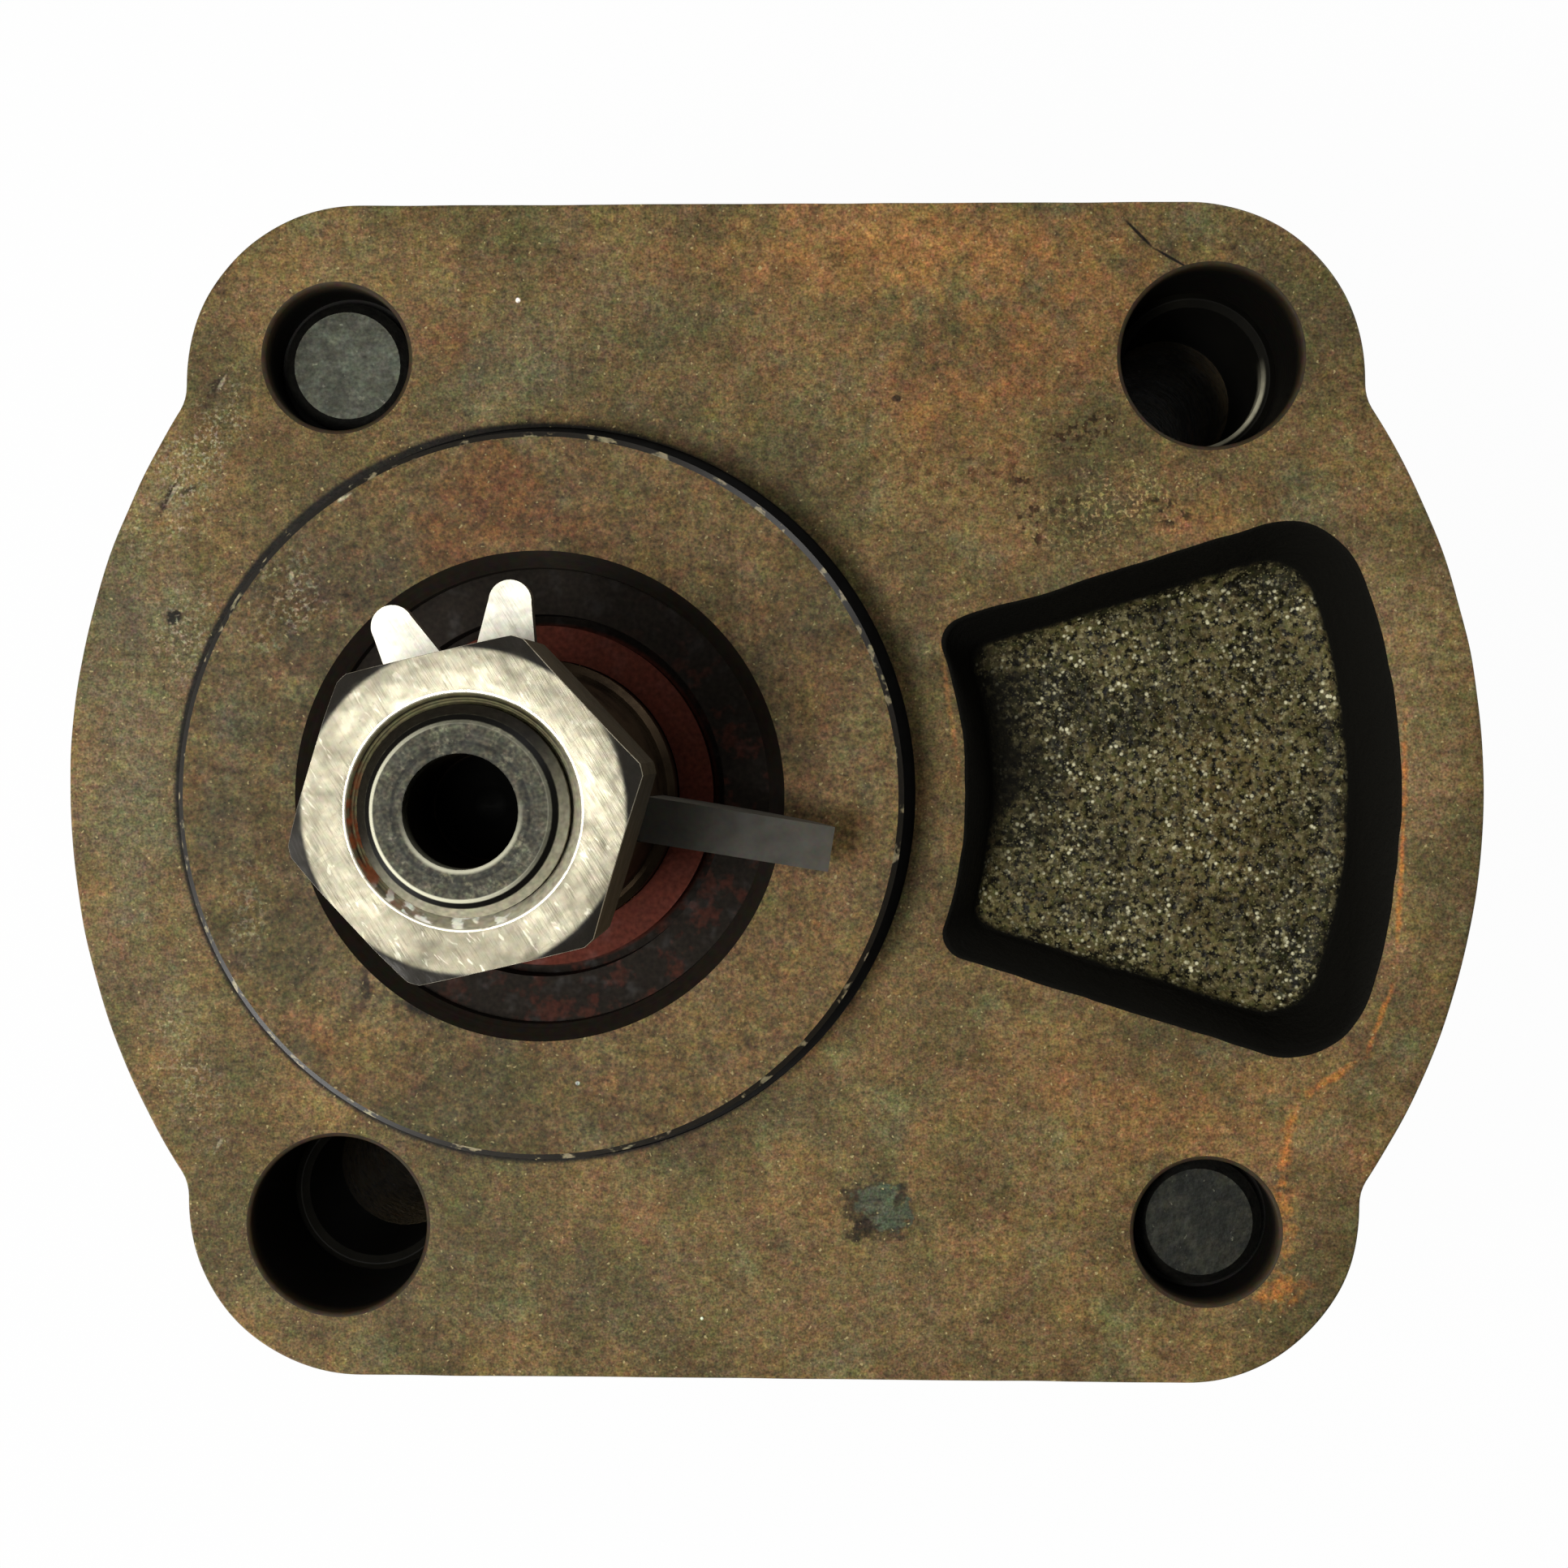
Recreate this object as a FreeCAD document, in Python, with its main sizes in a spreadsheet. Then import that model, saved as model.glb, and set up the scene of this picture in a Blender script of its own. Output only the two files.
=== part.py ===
import FreeCAD, Part
import math
import os

import Sketcher
from FreeCAD import Vector

# A two-gear hydraulic pump, in millimetres.
# The drive shaft turns about the Z axis and leaves the pump upwards.
# The origin is where that axis meets the mounting face of the front cover.
# The driven gear lies beside it along X.
# The pump stands on the boss of its rear cover.

DIMENSIONS = {
    # Outline that the covers and the body share
    "flange_side": 85.725,
    "flange_corner": 12.7,
    "lobe_diameter": 103.2,
    "lobe_fillet": 3.0,
    "edge_round": 0.8,
    "joint_chamfer": 0.5,
    # Lengths along the shaft
    "front_thickness": 18.0,
    "gear_width": 20.0,
    "bearing_length": 19.0,
    "side_clearance": 0.05,
    "rear_thickness": 14.0,
    "boss_height": 9.0,
    # Gears
    "centre_distance": 31.75,
    "tooth_count": 10,
    "pressure_angle": 27.0,
    "gear_diameter": 38.1,
    "gear_root_diameter": 24.4,
    "backlash": 0.18,
    "bore_clearance": 0.06,
    # Shafts and their bearings
    "journal_diameter": 19.05,
    "bush_wall": 1.5,
    "journal_clearance": 0.025,
    "journal_end_gap": 2.0,
    "bearing_split_gap": 0.04,
    # Drive end
    "seal_journal_top": 8.6,
    "taper_big_diameter": 17.46,
    "taper_top": 28.0,
    "taper_ratio": 8.0,
    "thread_diameter": 12.0,
    "shaft_top": 40.9,
    "thread_chamfer": 1.05,
    "centre_hole_diameter": 6.5,
    "centre_hole_depth": 10.0,
    # Pilot and shaft seal
    "pilot_diameter": 50.8,
    "pilot_height": 7.94,
    "pilot_chamfer": 0.5,
    "pilot_relief": 1.3,
    "pilot_undercut": 0.3,
    "seal_recess_diameter": 32.0,
    "seal_mouth_diameter": 34.2,
    "seal_height": 8.0,
    "seal_sink": 2.4,
    "seal_fit": 0.01,
    "shaft_passage_diameter": 22.0,
    "seal_skin": 0.8,
    "seal_case_plate": 1.0,
    "seal_face_groove": 0.8,
    "seal_groove_sink": 2.7,
    "dust_lip_width": 2.4,
    "dust_lip_sink": 0.3,
    "lip_clearance": 0.075,
    "lip_waist": 1.0,
    "lip_thickness": 2.2,
    "spring_wire": 1.2,
    "spring_sink": 0.45,
    "spring_place": 5.7,
    # Holes at the four corners
    "bolt_square": 63.5,
    "clamp_hole_diameter": 10.5,
    "clamp_bolt_diameter": 9.525,
    "clamp_bolt_sink": 3.6,
    "clamp_thread_start": 5.5,
    "thread_gap": 0.04,
    "mounting_hole_diameter": 10.8,
    "dowel_diameter": 13.0,
    "dowel_seat": 8.0,
    "long_dowel": 16.0,
    "short_dowel": 12.3,
    "rear_dowel": 15.0,
    "dowel_rim": 0.5,
    "spotface_diameter": 22.5,
    "spotface_depth": 0.8,
    "bolt_tip_chamfer": 0.8,
    "bolt_head_flats": 14.29,
    "bolt_head_height": 6.3,
    "washer_diameter": 20.5,
    "washer_thickness": 1.6,
    "washer_gap": 0.3,
    # Lightening pocket of the front cover
    "pocket_inner_radius": 30.3,
    "pocket_outer_radius": 45.5,
    "pocket_flare": 17.2,
    "pocket_half_height": 14.1,
    "pocket_gauge_distance": 20.0,
    "pocket_offset": 0.5,
    "pocket_depth": 9.0,
    "pocket_draft": 12.0,
    "pocket_outer_corner": 5.8,
    "pocket_inner_corner": 1.8,
    "pocket_floor_round": 1.6,
    # Ports in the two flat sides of the body
    "inlet_thread_diameter": 24.12,
    "inlet_thread_depth": 17.0,
    "inlet_bore": 17.0,
    "inlet_face": 37.0,
    "outlet_thread_diameter": 18.63,
    "outlet_thread_depth": 15.0,
    "outlet_bore": 13.0,
    "outlet_face": 31.0,
    "port_face_depth": 0.6,
    "port_reach": 8.0,
    # Seals at the two joints
    "body_seal_radius": 22.6,
    "body_seal_width": 3.0,
    "seal_groove_width": 3.2,
    "seal_groove_depth": 2.6,
    "balance_outer_radius": 17.4,
    "balance_inner_radius": 15.2,
    "backup_width": 0.9,
    "balance_depth": 1.8,
    # Nut, tab washer and key
    "nut_flats": 18.0,
    "nut_thickness": 10.7,
    "nut_angle": 13.2,
    "nut_chamfer": 1.1,
    "nut_countersink": 13.1,
    "tab_thickness": 1.2,
    "tab_ring_diameter": 17.6,
    "tab_reach": 13.7,
    "tab_tip_radius": 1.3,
    "tab_root_width": 4.2,
    "first_tab_angle": 85.0,
    "second_tab_angle": 119.3,
    "stack_gap": 0.02,
    "key_width": 3.0,
    "key_diameter": 19.05,
    "key_flat_drop": 1.6,
    "key_slot_clearance": 0.08,
    "key_side_clearance": 0.03,
    "key_pivot_radius": 11.3,
    "key_pivot_height": 17.5,
    "key_angle": -9.0,
    # Rear cover
    "rear_boss_radius": 23.0,
    "rear_boss_edge": 1.5,
    "rear_edge": 1.0,
    "drain_diameter": 12.0,
    "drain_depth": 5.0,
    "drain_slot_width": 6.0,
    "drain_slot_depth": 3.0,
    # Pressure relief pockets and oil grooves of the bearing blocks
    "relief_width": 5.0,
    "relief_height": 4.2,
    "relief_depth": 1.6,
    "relief_offset": 3.4,
    "oil_groove_diameter": 2.4,
}

FULL_TURN = 360.0
# How far a cutting profile, or one that is joined on, runs past the surface it meets
OVERLAP = 1.0

doc = FreeCAD.newDocument("hydraulic_pump")
sheet = doc.addObject("Spreadsheet::Sheet", "Sizes")
for row, (alias, size) in enumerate(DIMENSIONS.items(), 1):
    sheet.set(f"A{row}", alias)
    sheet.set(f"B{row}", str(size))
    sheet.setAlias(f"B{row}", alias)
doc.recompute()

# Places that several pieces share, each as an expression of the sheet
CENTRE_X = "Sizes.centre_distance / 2"
HALF_SIDE = "Sizes.flange_side / 2"
HALF_SQUARE = "Sizes.bolt_square / 2"
JOINT_Z = "-Sizes.front_thickness"
BLOCK_LENGTH = "(Sizes.bearing_length - Sizes.side_clearance)"
BODY_LENGTH = "(2 * Sizes.bearing_length + Sizes.gear_width + 2 * Sizes.side_clearance)"
REAR_JOINT_Z = f"(-Sizes.front_thickness - {BODY_LENGTH})"
GEAR_TOP_Z = "(-Sizes.front_thickness - Sizes.bearing_length - Sizes.side_clearance)"
GEAR_BOTTOM_Z = f"({GEAR_TOP_Z} - Sizes.gear_width)"
EAR_Z = f"({REAR_JOINT_Z} - Sizes.rear_thickness)"
FOOT_Z = f"({EAR_Z} - Sizes.boss_height)"
HEAD_SEAT_Z = f"({EAR_Z} + Sizes.spotface_depth)"
BUSH_RADIUS = "(Sizes.journal_diameter / 2 + Sizes.journal_clearance + Sizes.bush_wall)"
TAB_TOP_Z = "(Sizes.taper_top + Sizes.tab_thickness + Sizes.stack_gap)"

# Corner signs about the body's centre, seen from above the shaft
CLAMP_CORNERS = ((-1, 1), (1, -1))
DOWEL_CORNERS = ((1, 1), (-1, -1))


def number(expression):
    """Value of an expression of the sheet, in millimetres."""
    result = sheet.evalExpression(expression)
    return float(getattr(result, "Value", result))


def new_body(name):
    """Start a sub-part as a body with its own label."""
    body = doc.addObject("PartDesign::Body", name)
    body.Label = name
    return body


def new_sketch(body, name, role="XY_Plane", height=None):
    """Sketch on one of the body's own origin planes, lifted along its normal by height."""
    sketch = body.newObject("Sketcher::SketchObject", f"{body.Name}_{name}")
    plane = next(item for item in body.Origin.OriginFeatures if item.Role == role)
    sketch.AttachmentSupport = [(plane, "")]
    sketch.MapMode = "FlatFace"
    if height is not None:
        sketch.setExpression("AttachmentOffset.Base.z", height)
    return sketch


def pin_coordinate(sketch, geometry, which, letter, expression):
    """Tie the X or Y of one point of a sketch to an expression."""
    value = number(expression)
    if abs(value) < 1e-9:
        axis = -2 if letter == "X" else -1
        sketch.addConstraint(Sketcher.Constraint("PointOnObject", geometry, which, axis))
        return
    index = sketch.addConstraint(
        Sketcher.Constraint(f"Distance{letter}", -1, 1, geometry, which, value)
    )
    sketch.setExpression(f"Constraints[{index}]", expression)


def pin_point(sketch, geometry, which, x, y):
    """Tie one point of a sketch to two expressions measured from the sketch's origin."""
    pin_coordinate(sketch, geometry, which, "X", x)
    pin_coordinate(sketch, geometry, which, "Y", y)


def draw_circle(sketch, x, y, radius):
    """Circle whose centre and radius follow expressions."""
    centre = Vector(number(x), number(y), 0)
    shape = Part.Circle(centre, Vector(0, 0, 1), number(radius))
    geometry = sketch.addGeometry(shape, False)
    index = sketch.addConstraint(Sketcher.Constraint("Radius", geometry, number(radius)))
    sketch.setExpression(f"Constraints[{index}]", radius)
    pin_point(sketch, geometry, 3, x, y)


def draw_polygon(sketch, corners):
    """Closed run of straight edges through corners, each a pair of expressions."""
    places = [Vector(number(x), number(y), 0) for x, y in corners]
    count = len(corners)
    first = sketch.GeometryCount
    for i in range(count):
        sketch.addGeometry(Part.LineSegment(places[i], places[(i + 1) % count]), False)
    for i in range(count):
        following = first + (i + 1) % count
        sketch.addConstraint(Sketcher.Constraint("Coincident", first + i, 2, following, 1))
    for i, (x, y) in enumerate(corners):
        pin_point(sketch, first + i, 1, x, y)


def draw_outline(sketch, pieces):
    """Closed outline of lines and arcs.

    Each piece is its start point, as two expressions, then None for a straight edge, or
    (centre x, centre y, radius, counterclockwise) for an arc to the next piece's start. The
    arc's ends and one coordinate of its centre are tied, which fixes it.
    """
    count = len(pieces)
    first = sketch.GeometryCount
    starts = [Vector(number(piece[0]), number(piece[1]), 0) for piece in pieces]
    for i, (_x, _y, arc) in enumerate(pieces):
        here, there = starts[i], starts[(i + 1) % count]
        if arc is None:
            sketch.addGeometry(Part.LineSegment(here, there), False)
            continue
        centre = Vector(number(arc[0]), number(arc[1]), 0)
        ends = (here, there) if arc[3] else (there, here)
        angles = [math.atan2(end.y - centre.y, end.x - centre.x) for end in ends]
        if angles[1] <= angles[0]:
            angles[1] += 2 * math.pi
        circle = Part.Circle(centre, Vector(0, 0, 1), number(arc[2]))
        sketch.addGeometry(Part.ArcOfCircle(circle, angles[0], angles[1]), False)
    for i, (x, y, arc) in enumerate(pieces):
        before = (i - 1) % count
        here_end = 1 if arc is None or arc[3] else 2
        back = pieces[before][2]
        back_end = 2 if back is None or back[3] else 1
        joint = Sketcher.Constraint("Coincident", first + before, back_end, first + i, here_end)
        sketch.addConstraint(joint)
        pin_point(sketch, first + i, here_end, x, y)
        if arc is not None:
            across = starts[(i + 1) % count] - starts[i]
            upright = abs(across.y) > abs(across.x)
            pin_coordinate(sketch, first + i, 3, "X" if upright else "Y", arc[0 if upright else 1])


def pad(body, sketch, length):
    """Raise a sketch upwards along its normal."""
    feature = body.newObject("PartDesign::Pad", f"{sketch.Name}_pad")
    feature.Profile = sketch
    feature.setExpression("Length", length)
    doc.recompute()
    return feature


def pocket(body, sketch, depth, upwards=False, draft=None):
    """Cut a sketch down from its plane, or up into the piece."""
    feature = body.newObject("PartDesign::Pocket", f"{sketch.Name}_cut")
    feature.Profile = sketch
    feature.setExpression("Length", depth)
    feature.Reversed = upwards
    if draft is not None:
        feature.setExpression("TaperAngle", draft)
    doc.recompute()
    return feature


def turn(body, sketch, cut=False):
    """Turn a profile about the sketch's own upright axis, as material or as a cut."""
    kind = "PartDesign::Groove" if cut else "PartDesign::Revolution"
    feature = body.newObject(kind, f"{sketch.Name}_turned")
    feature.Profile = sketch
    feature.ReferenceAxis = (sketch, ["V_Axis"])
    feature.Angle = FULL_TURN
    doc.recompute()
    return feature


def dress(body, kind, name, size, picked):
    """Fillet or chamfer the edges that picked accepts."""
    base = body.Tip
    names = [f"Edge{i}" for i, edge in enumerate(base.Shape.Edges, 1) if picked(edge)]
    feature = body.newObject(f"PartDesign::{kind}", f"{body.Name}_{name}")
    feature.Base = (base, names)
    feature.setExpression("Radius" if kind == "Fillet" else "Size", size)
    doc.recompute()
    return feature


def edge_heights(edge):
    """Lowest and highest Z of an edge."""
    box = edge.BoundBox
    return box.ZMin, box.ZMax


def flat_at(edge, height):
    """Whether an edge lies in the level plane at height."""
    low, high = edge_heights(edge)
    return abs(low - height) < 1e-4 and abs(high - height) < 1e-4


def radius_from(edge, x, y):
    """Distances from an upright axis to the nearest and furthest of some edge points."""
    points = edge.discretize(9)
    distances = [math.hypot(point.x - x, point.y - y) for point in points]
    return min(distances), max(distances)


def outer_edge(edge):
    """Whether an edge belongs to the outside outline of a cover or the body."""
    margin = 1.5
    half = number(HALF_SIDE)
    inside = half - number("Sizes.flange_corner") * (1 - math.sqrt(0.5)) - margin
    points = edge.discretize(9)
    centre = number(CENTRE_X)
    return all(
        max(abs(point.x - centre), abs(point.y)) > inside
        or math.hypot(point.x - centre, point.y) > number("Sizes.lobe_diameter") / 2 - margin
        for point in points
    )


def cast_outline(body, bottom, length):
    """Square with rounded corners, joined with a lobe on its left and right sides."""
    inner = f"{HALF_SIDE} - Sizes.flange_corner"
    square = new_sketch(body, "square", height=bottom)
    left, right = f"{CENTRE_X} - ({HALF_SIDE})", f"{CENTRE_X} + {HALF_SIDE}"
    near, far = f"{CENTRE_X} - ({inner})", f"{CENTRE_X} + {inner}"
    low, high = f"-({HALF_SIDE})", HALF_SIDE
    low_in, high_in = f"-({inner})", inner
    corner = "Sizes.flange_corner"
    draw_outline(
        square,
        (
            (near, low, None),
            (far, low, (far, low_in, corner, True)),
            (right, low_in, None),
            (right, high_in, (far, high_in, corner, True)),
            (far, high, None),
            (near, high, (near, high_in, corner, True)),
            (left, high_in, None),
            (left, low_in, (near, low_in, corner, True)),
        ),
    )
    pad(body, square, length)
    lobes = new_sketch(body, "lobes", height=bottom)
    radius = "Sizes.lobe_diameter / 2"
    draw_circle(lobes, CENTRE_X, "0", radius)
    pad(body, lobes, length)
    # The lobe is cut off level with the square's top and bottom sides.
    trims = new_sketch(body, "lobe_trims", height=bottom)
    trim_left, trim_right = f"{CENTRE_X} - Sizes.lobe_diameter", f"{CENTRE_X} + Sizes.lobe_diameter"
    for side in (1, -1):
        level = f"{side} * {HALF_SIDE}"
        beyond = f"{side} * ({HALF_SIDE} + Sizes.lobe_diameter)"
        corners = [(trim_left, level), (trim_right, level), (trim_right, beyond), (trim_left, beyond)]
        draw_polygon(trims, corners if side > 0 else corners[::-1])
    pocket(body, trims, length, upwards=True)
    half = number(HALF_SIDE)
    centre = number(CENTRE_X)
    lobe = number(radius)

    def is_join(edge):
        low_z, high_z = edge_heights(edge)
        middle = edge.CenterOfMass
        beside = abs(abs(middle.x - centre) - half) < 0.01
        return high_z - low_z > 1 and beside and abs(radius_from(edge, centre, 0)[1] - lobe) < 0.01

    # A lobe that lies inside the square, or passes round its corners, makes no inner corner.
    if any(is_join(edge) for edge in body.Tip.Shape.Edges):
        dress(body, "Fillet", "lobe_fillet", "Sizes.lobe_fillet", is_join)


def corner_place(signs):
    """Centre of one corner hole, as two expressions."""
    return f"{CENTRE_X} + {signs[0]} * {HALF_SQUARE}", f"{signs[1]} * {HALF_SQUARE}"


def corner_holes(body, name, corners, height, diameter, depth, upwards=False):
    """Cut the same round hole at some of the four corners."""
    sketch = new_sketch(body, name, height=height)
    for signs in corners:
        x, y = corner_place(signs)
        draw_circle(sketch, x, y, f"{diameter} / 2")
    pocket(body, sketch, depth, upwards)


def figure_eight(sketch, radius):
    """Outline of two equal overlapping circles on the two gear axes."""
    half = f"sqrt(({radius}) ^ 2 - ({CENTRE_X}) ^ 2)"
    draw_outline(
        sketch,
        (
            (CENTRE_X, half, ("0", "0", radius, True)),
            (CENTRE_X, f"-{half}", ("Sizes.centre_distance", "0", radius, True)),
        ),
    )


def stadium(sketch, radius):
    """Straight-sided outline round both gear axes."""
    far = "Sizes.centre_distance"
    draw_outline(
        sketch,
        (
            ("0", f"-({radius})", None),
            (far, f"-({radius})", (far, "0", radius, True)),
            (far, radius, None),
            ("0", radius, ("0", "0", radius, True)),
        ),
    )


def joint_groove(body, height, upwards):
    """Groove for the body's seal ring, round both gear axes."""
    sketch = new_sketch(body, "seal_groove" if upwards else "seal_groove_top", height=height)
    stadium(sketch, "Sizes.body_seal_radius + Sizes.seal_groove_width / 2")
    stadium(sketch, "Sizes.body_seal_radius - Sizes.seal_groove_width / 2")
    pocket(body, sketch, "Sizes.seal_groove_depth", upwards)


def balance_groove(body, height, upwards):
    """Figure-eight groove in a cover for the seal behind the bearing blocks."""
    sketch = new_sketch(body, "balance_groove", height=height)
    figure_eight(sketch, "Sizes.balance_outer_radius + Sizes.backup_width")
    for x in ("0", "Sizes.centre_distance"):
        draw_circle(sketch, x, "0", "Sizes.balance_inner_radius")
    pocket(body, sketch, "Sizes.balance_depth", upwards)


def make_front_cover():
    """Mounting flange with the pilot, the seal recess and the lightening pocket."""
    body = new_body("front_cover")
    cast_outline(body, JOINT_Z, "Sizes.front_thickness")
    dress(
        body, "Fillet", "edge_round", "Sizes.edge_round",
        lambda edge: flat_at(edge, 0.0) and outer_edge(edge),
    )
    dress(
        body, "Chamfer", "joint_edge", "Sizes.joint_chamfer",
        lambda edge: flat_at(edge, number(JOINT_Z)) and outer_edge(edge),
    )
    make_pocket(body)
    spigot = new_sketch(body, "spigot")
    draw_circle(spigot, "0", "0", "Sizes.pilot_diameter / 2")
    pad(body, spigot, "Sizes.pilot_height")
    pilot = number("Sizes.pilot_diameter") / 2
    top = number("Sizes.pilot_height")
    dress(
        body, "Chamfer", "pilot_edge", "Sizes.pilot_chamfer",
        lambda edge: flat_at(edge, top) and radius_from(edge, 0, 0)[0] > pilot - 0.1,
    )
    relief = new_sketch(body, "relief", "XZ_Plane")
    inside = "Sizes.pilot_diameter / 2 - Sizes.pilot_undercut"
    outside = "Sizes.pilot_diameter / 2 + Sizes.pilot_relief"
    half = "Sizes.pilot_relief / 2"
    draw_polygon(
        relief,
        ((inside, half), (inside, f"-{half}"), (outside, f"-{half}"), (outside, half)),
    )
    turn(body, relief, cut=True)
    recess = new_sketch(body, "recess", "XZ_Plane")
    rim = "Sizes.pilot_height + Sizes.seal_sink"
    seat = "Sizes.pilot_height - Sizes.seal_sink - Sizes.seal_height"
    lead = "Sizes.pilot_height - (Sizes.seal_mouth_diameter - Sizes.seal_recess_diameter) / 2"
    mouth = "Sizes.seal_mouth_diameter / 2"
    bore = "Sizes.seal_recess_diameter / 2"
    passage = "Sizes.shaft_passage_diameter / 2"
    draw_polygon(
        recess,
        (
            ("0", rim),
            ("0", f"{JOINT_Z} - Sizes.joint_chamfer"),
            (passage, f"{JOINT_Z} - Sizes.joint_chamfer"),
            (passage, seat),
            (bore, seat),
            (bore, lead),
            (mouth, "Sizes.pilot_height"),
            (mouth, rim),
        ),
    )
    turn(body, recess, cut=True)
    corner_holes(
        body, "dowel_holes", DOWEL_CORNERS, "0", "Sizes.dowel_diameter", "Sizes.front_thickness"
    )
    corner_holes(
        body, "clamp_mouths", CLAMP_CORNERS, "0", "Sizes.clamp_hole_diameter",
        "Sizes.clamp_thread_start",
    )
    corner_holes(
        body, "clamp_threads", CLAMP_CORNERS, "0",
        "(Sizes.clamp_bolt_diameter + 2 * Sizes.thread_gap)", "Sizes.front_thickness",
    )
    balance_groove(body, JOINT_Z, True)
    return body


def make_pocket(body):
    """Lightening pocket: two arcs joined by flared sides, with drafted walls."""
    sketch = new_sketch(body, "lightening")
    slope = "tan(Sizes.pocket_flare)"
    gauge = f"({CENTRE_X} + Sizes.pocket_gauge_distance)"
    ends = []
    for side in (1, -1):
        rise = f"({side} * {slope})"
        level = f"(Sizes.pocket_offset + {side} * Sizes.pocket_half_height)"
        crossings = []
        for axis, radius in (
            ("0", "Sizes.pocket_inner_radius"),
            (f"({CENTRE_X})", "Sizes.pocket_outer_radius"),
        ):
            # A flared side y = a + b x meets a circle about (axis, 0) where
            # (1 + b b) x x + 2 (a b - axis) x + a a + axis axis - radius radius = 0.
            start = f"({level} - {rise} * {gauge})"
            square = f"(1 + {rise} ^ 2)"
            linear = f"({start} * {rise} - {axis})"
            rest = f"({start} ^ 2 + {axis} ^ 2 - {radius} ^ 2)"
            x = f"((-{linear} + sqrt({linear} ^ 2 - {square} * {rest})) / {square})"
            crossings.append((x, f"({start} + {rise} * {x})"))
        ends.append(crossings)
    (top_in, top_out), (low_in, low_out) = ends
    outer = (CENTRE_X, "0", "Sizes.pocket_outer_radius", True)
    inner = ("0", "0", "Sizes.pocket_inner_radius", False)
    draw_outline(
        sketch,
        (
            (*low_in, None),
            (*low_out, outer),
            (*top_out, None),
            (*top_in, inner),
        ),
    )
    pocket(body, sketch, "Sizes.pocket_depth", draft="-Sizes.pocket_draft")
    for name, places, size in (
        ("outer_corners", (top_out, low_out), "Sizes.pocket_outer_corner"),
        ("inner_corners", (top_in, low_in), "Sizes.pocket_inner_corner"),
    ):
        spots = [(number(x), number(y)) for x, y in places]

        def is_corner(edge, spots=spots):
            low, high = edge_heights(edge)
            top = edge.Vertexes[0].Point if edge.Vertexes[0].Z > -0.01 else edge.Vertexes[-1].Point
            near = any(math.hypot(top.x - x, top.y - y) < 0.5 for x, y in spots)
            return high - low > 1 and near

        dress(body, "Fillet", name, size, is_corner)
    floor = -number("Sizes.pocket_depth")
    dress(
        body, "Fillet", "floor_round", "Sizes.pocket_floor_round",
        lambda edge: flat_at(edge, floor),
    )


def make_pump_body():
    """Housing with the figure-eight chamber, the ports and the joint grooves."""
    body = new_body("pump_body")
    cast_outline(body, REAR_JOINT_Z, BODY_LENGTH)
    for name, height in (("front_edge", JOINT_Z), ("rear_edge", REAR_JOINT_Z)):
        level = number(height)
        dress(
            body, "Chamfer", name, "Sizes.joint_chamfer",
            lambda edge, level=level: flat_at(edge, level) and outer_edge(edge),
        )
    chamber = new_sketch(body, "chamber", height=JOINT_Z)
    figure_eight(chamber, "Sizes.gear_diameter / 2 + Sizes.bore_clearance")
    pocket(body, chamber, BODY_LENGTH)
    joint_groove(body, JOINT_Z, False)
    joint_groove(body, REAR_JOINT_Z, True)
    corner_holes(
        body, "clamp_holes", CLAMP_CORNERS, JOINT_Z, "Sizes.clamp_hole_diameter", BODY_LENGTH
    )
    corner_holes(
        body, "mounting_holes", DOWEL_CORNERS, JOINT_Z, "Sizes.mounting_hole_diameter",
        BODY_LENGTH,
    )
    corner_holes(
        body, "front_dowel_seats", DOWEL_CORNERS, JOINT_Z, "Sizes.dowel_diameter",
        "Sizes.dowel_seat",
    )
    corner_holes(
        body, "rear_dowel_seats", DOWEL_CORNERS, REAR_JOINT_Z, "Sizes.dowel_diameter",
        "Sizes.dowel_seat", True,
    )
    cut_port(body, "inlet", -1)
    cut_port(body, "outlet", 1)
    return body


def cut_port(body, port, side):
    """Threaded port in one flat side, on the line between the gears."""
    middle = f"({GEAR_TOP_Z} + {GEAR_BOTTOM_Z}) / 2"
    wall = HALF_SIDE
    steps = (
        ("face", f"Sizes.{port}_face / 2", "Sizes.port_face_depth"),
        ("thread", f"Sizes.{port}_thread_diameter / 2", f"Sizes.{port}_thread_depth"),
        ("bore", f"Sizes.{port}_bore / 2", f"{HALF_SIDE} - Sizes.port_reach"),
    )
    for step, radius, depth in steps:
        height = f"-({side}) * ({wall})"
        sketch = new_sketch(body, f"{port}_{step}", "XZ_Plane", height=height)
        draw_circle(sketch, CENTRE_X, middle, radius)
        pocket(body, sketch, depth, upwards=side > 0)


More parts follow.
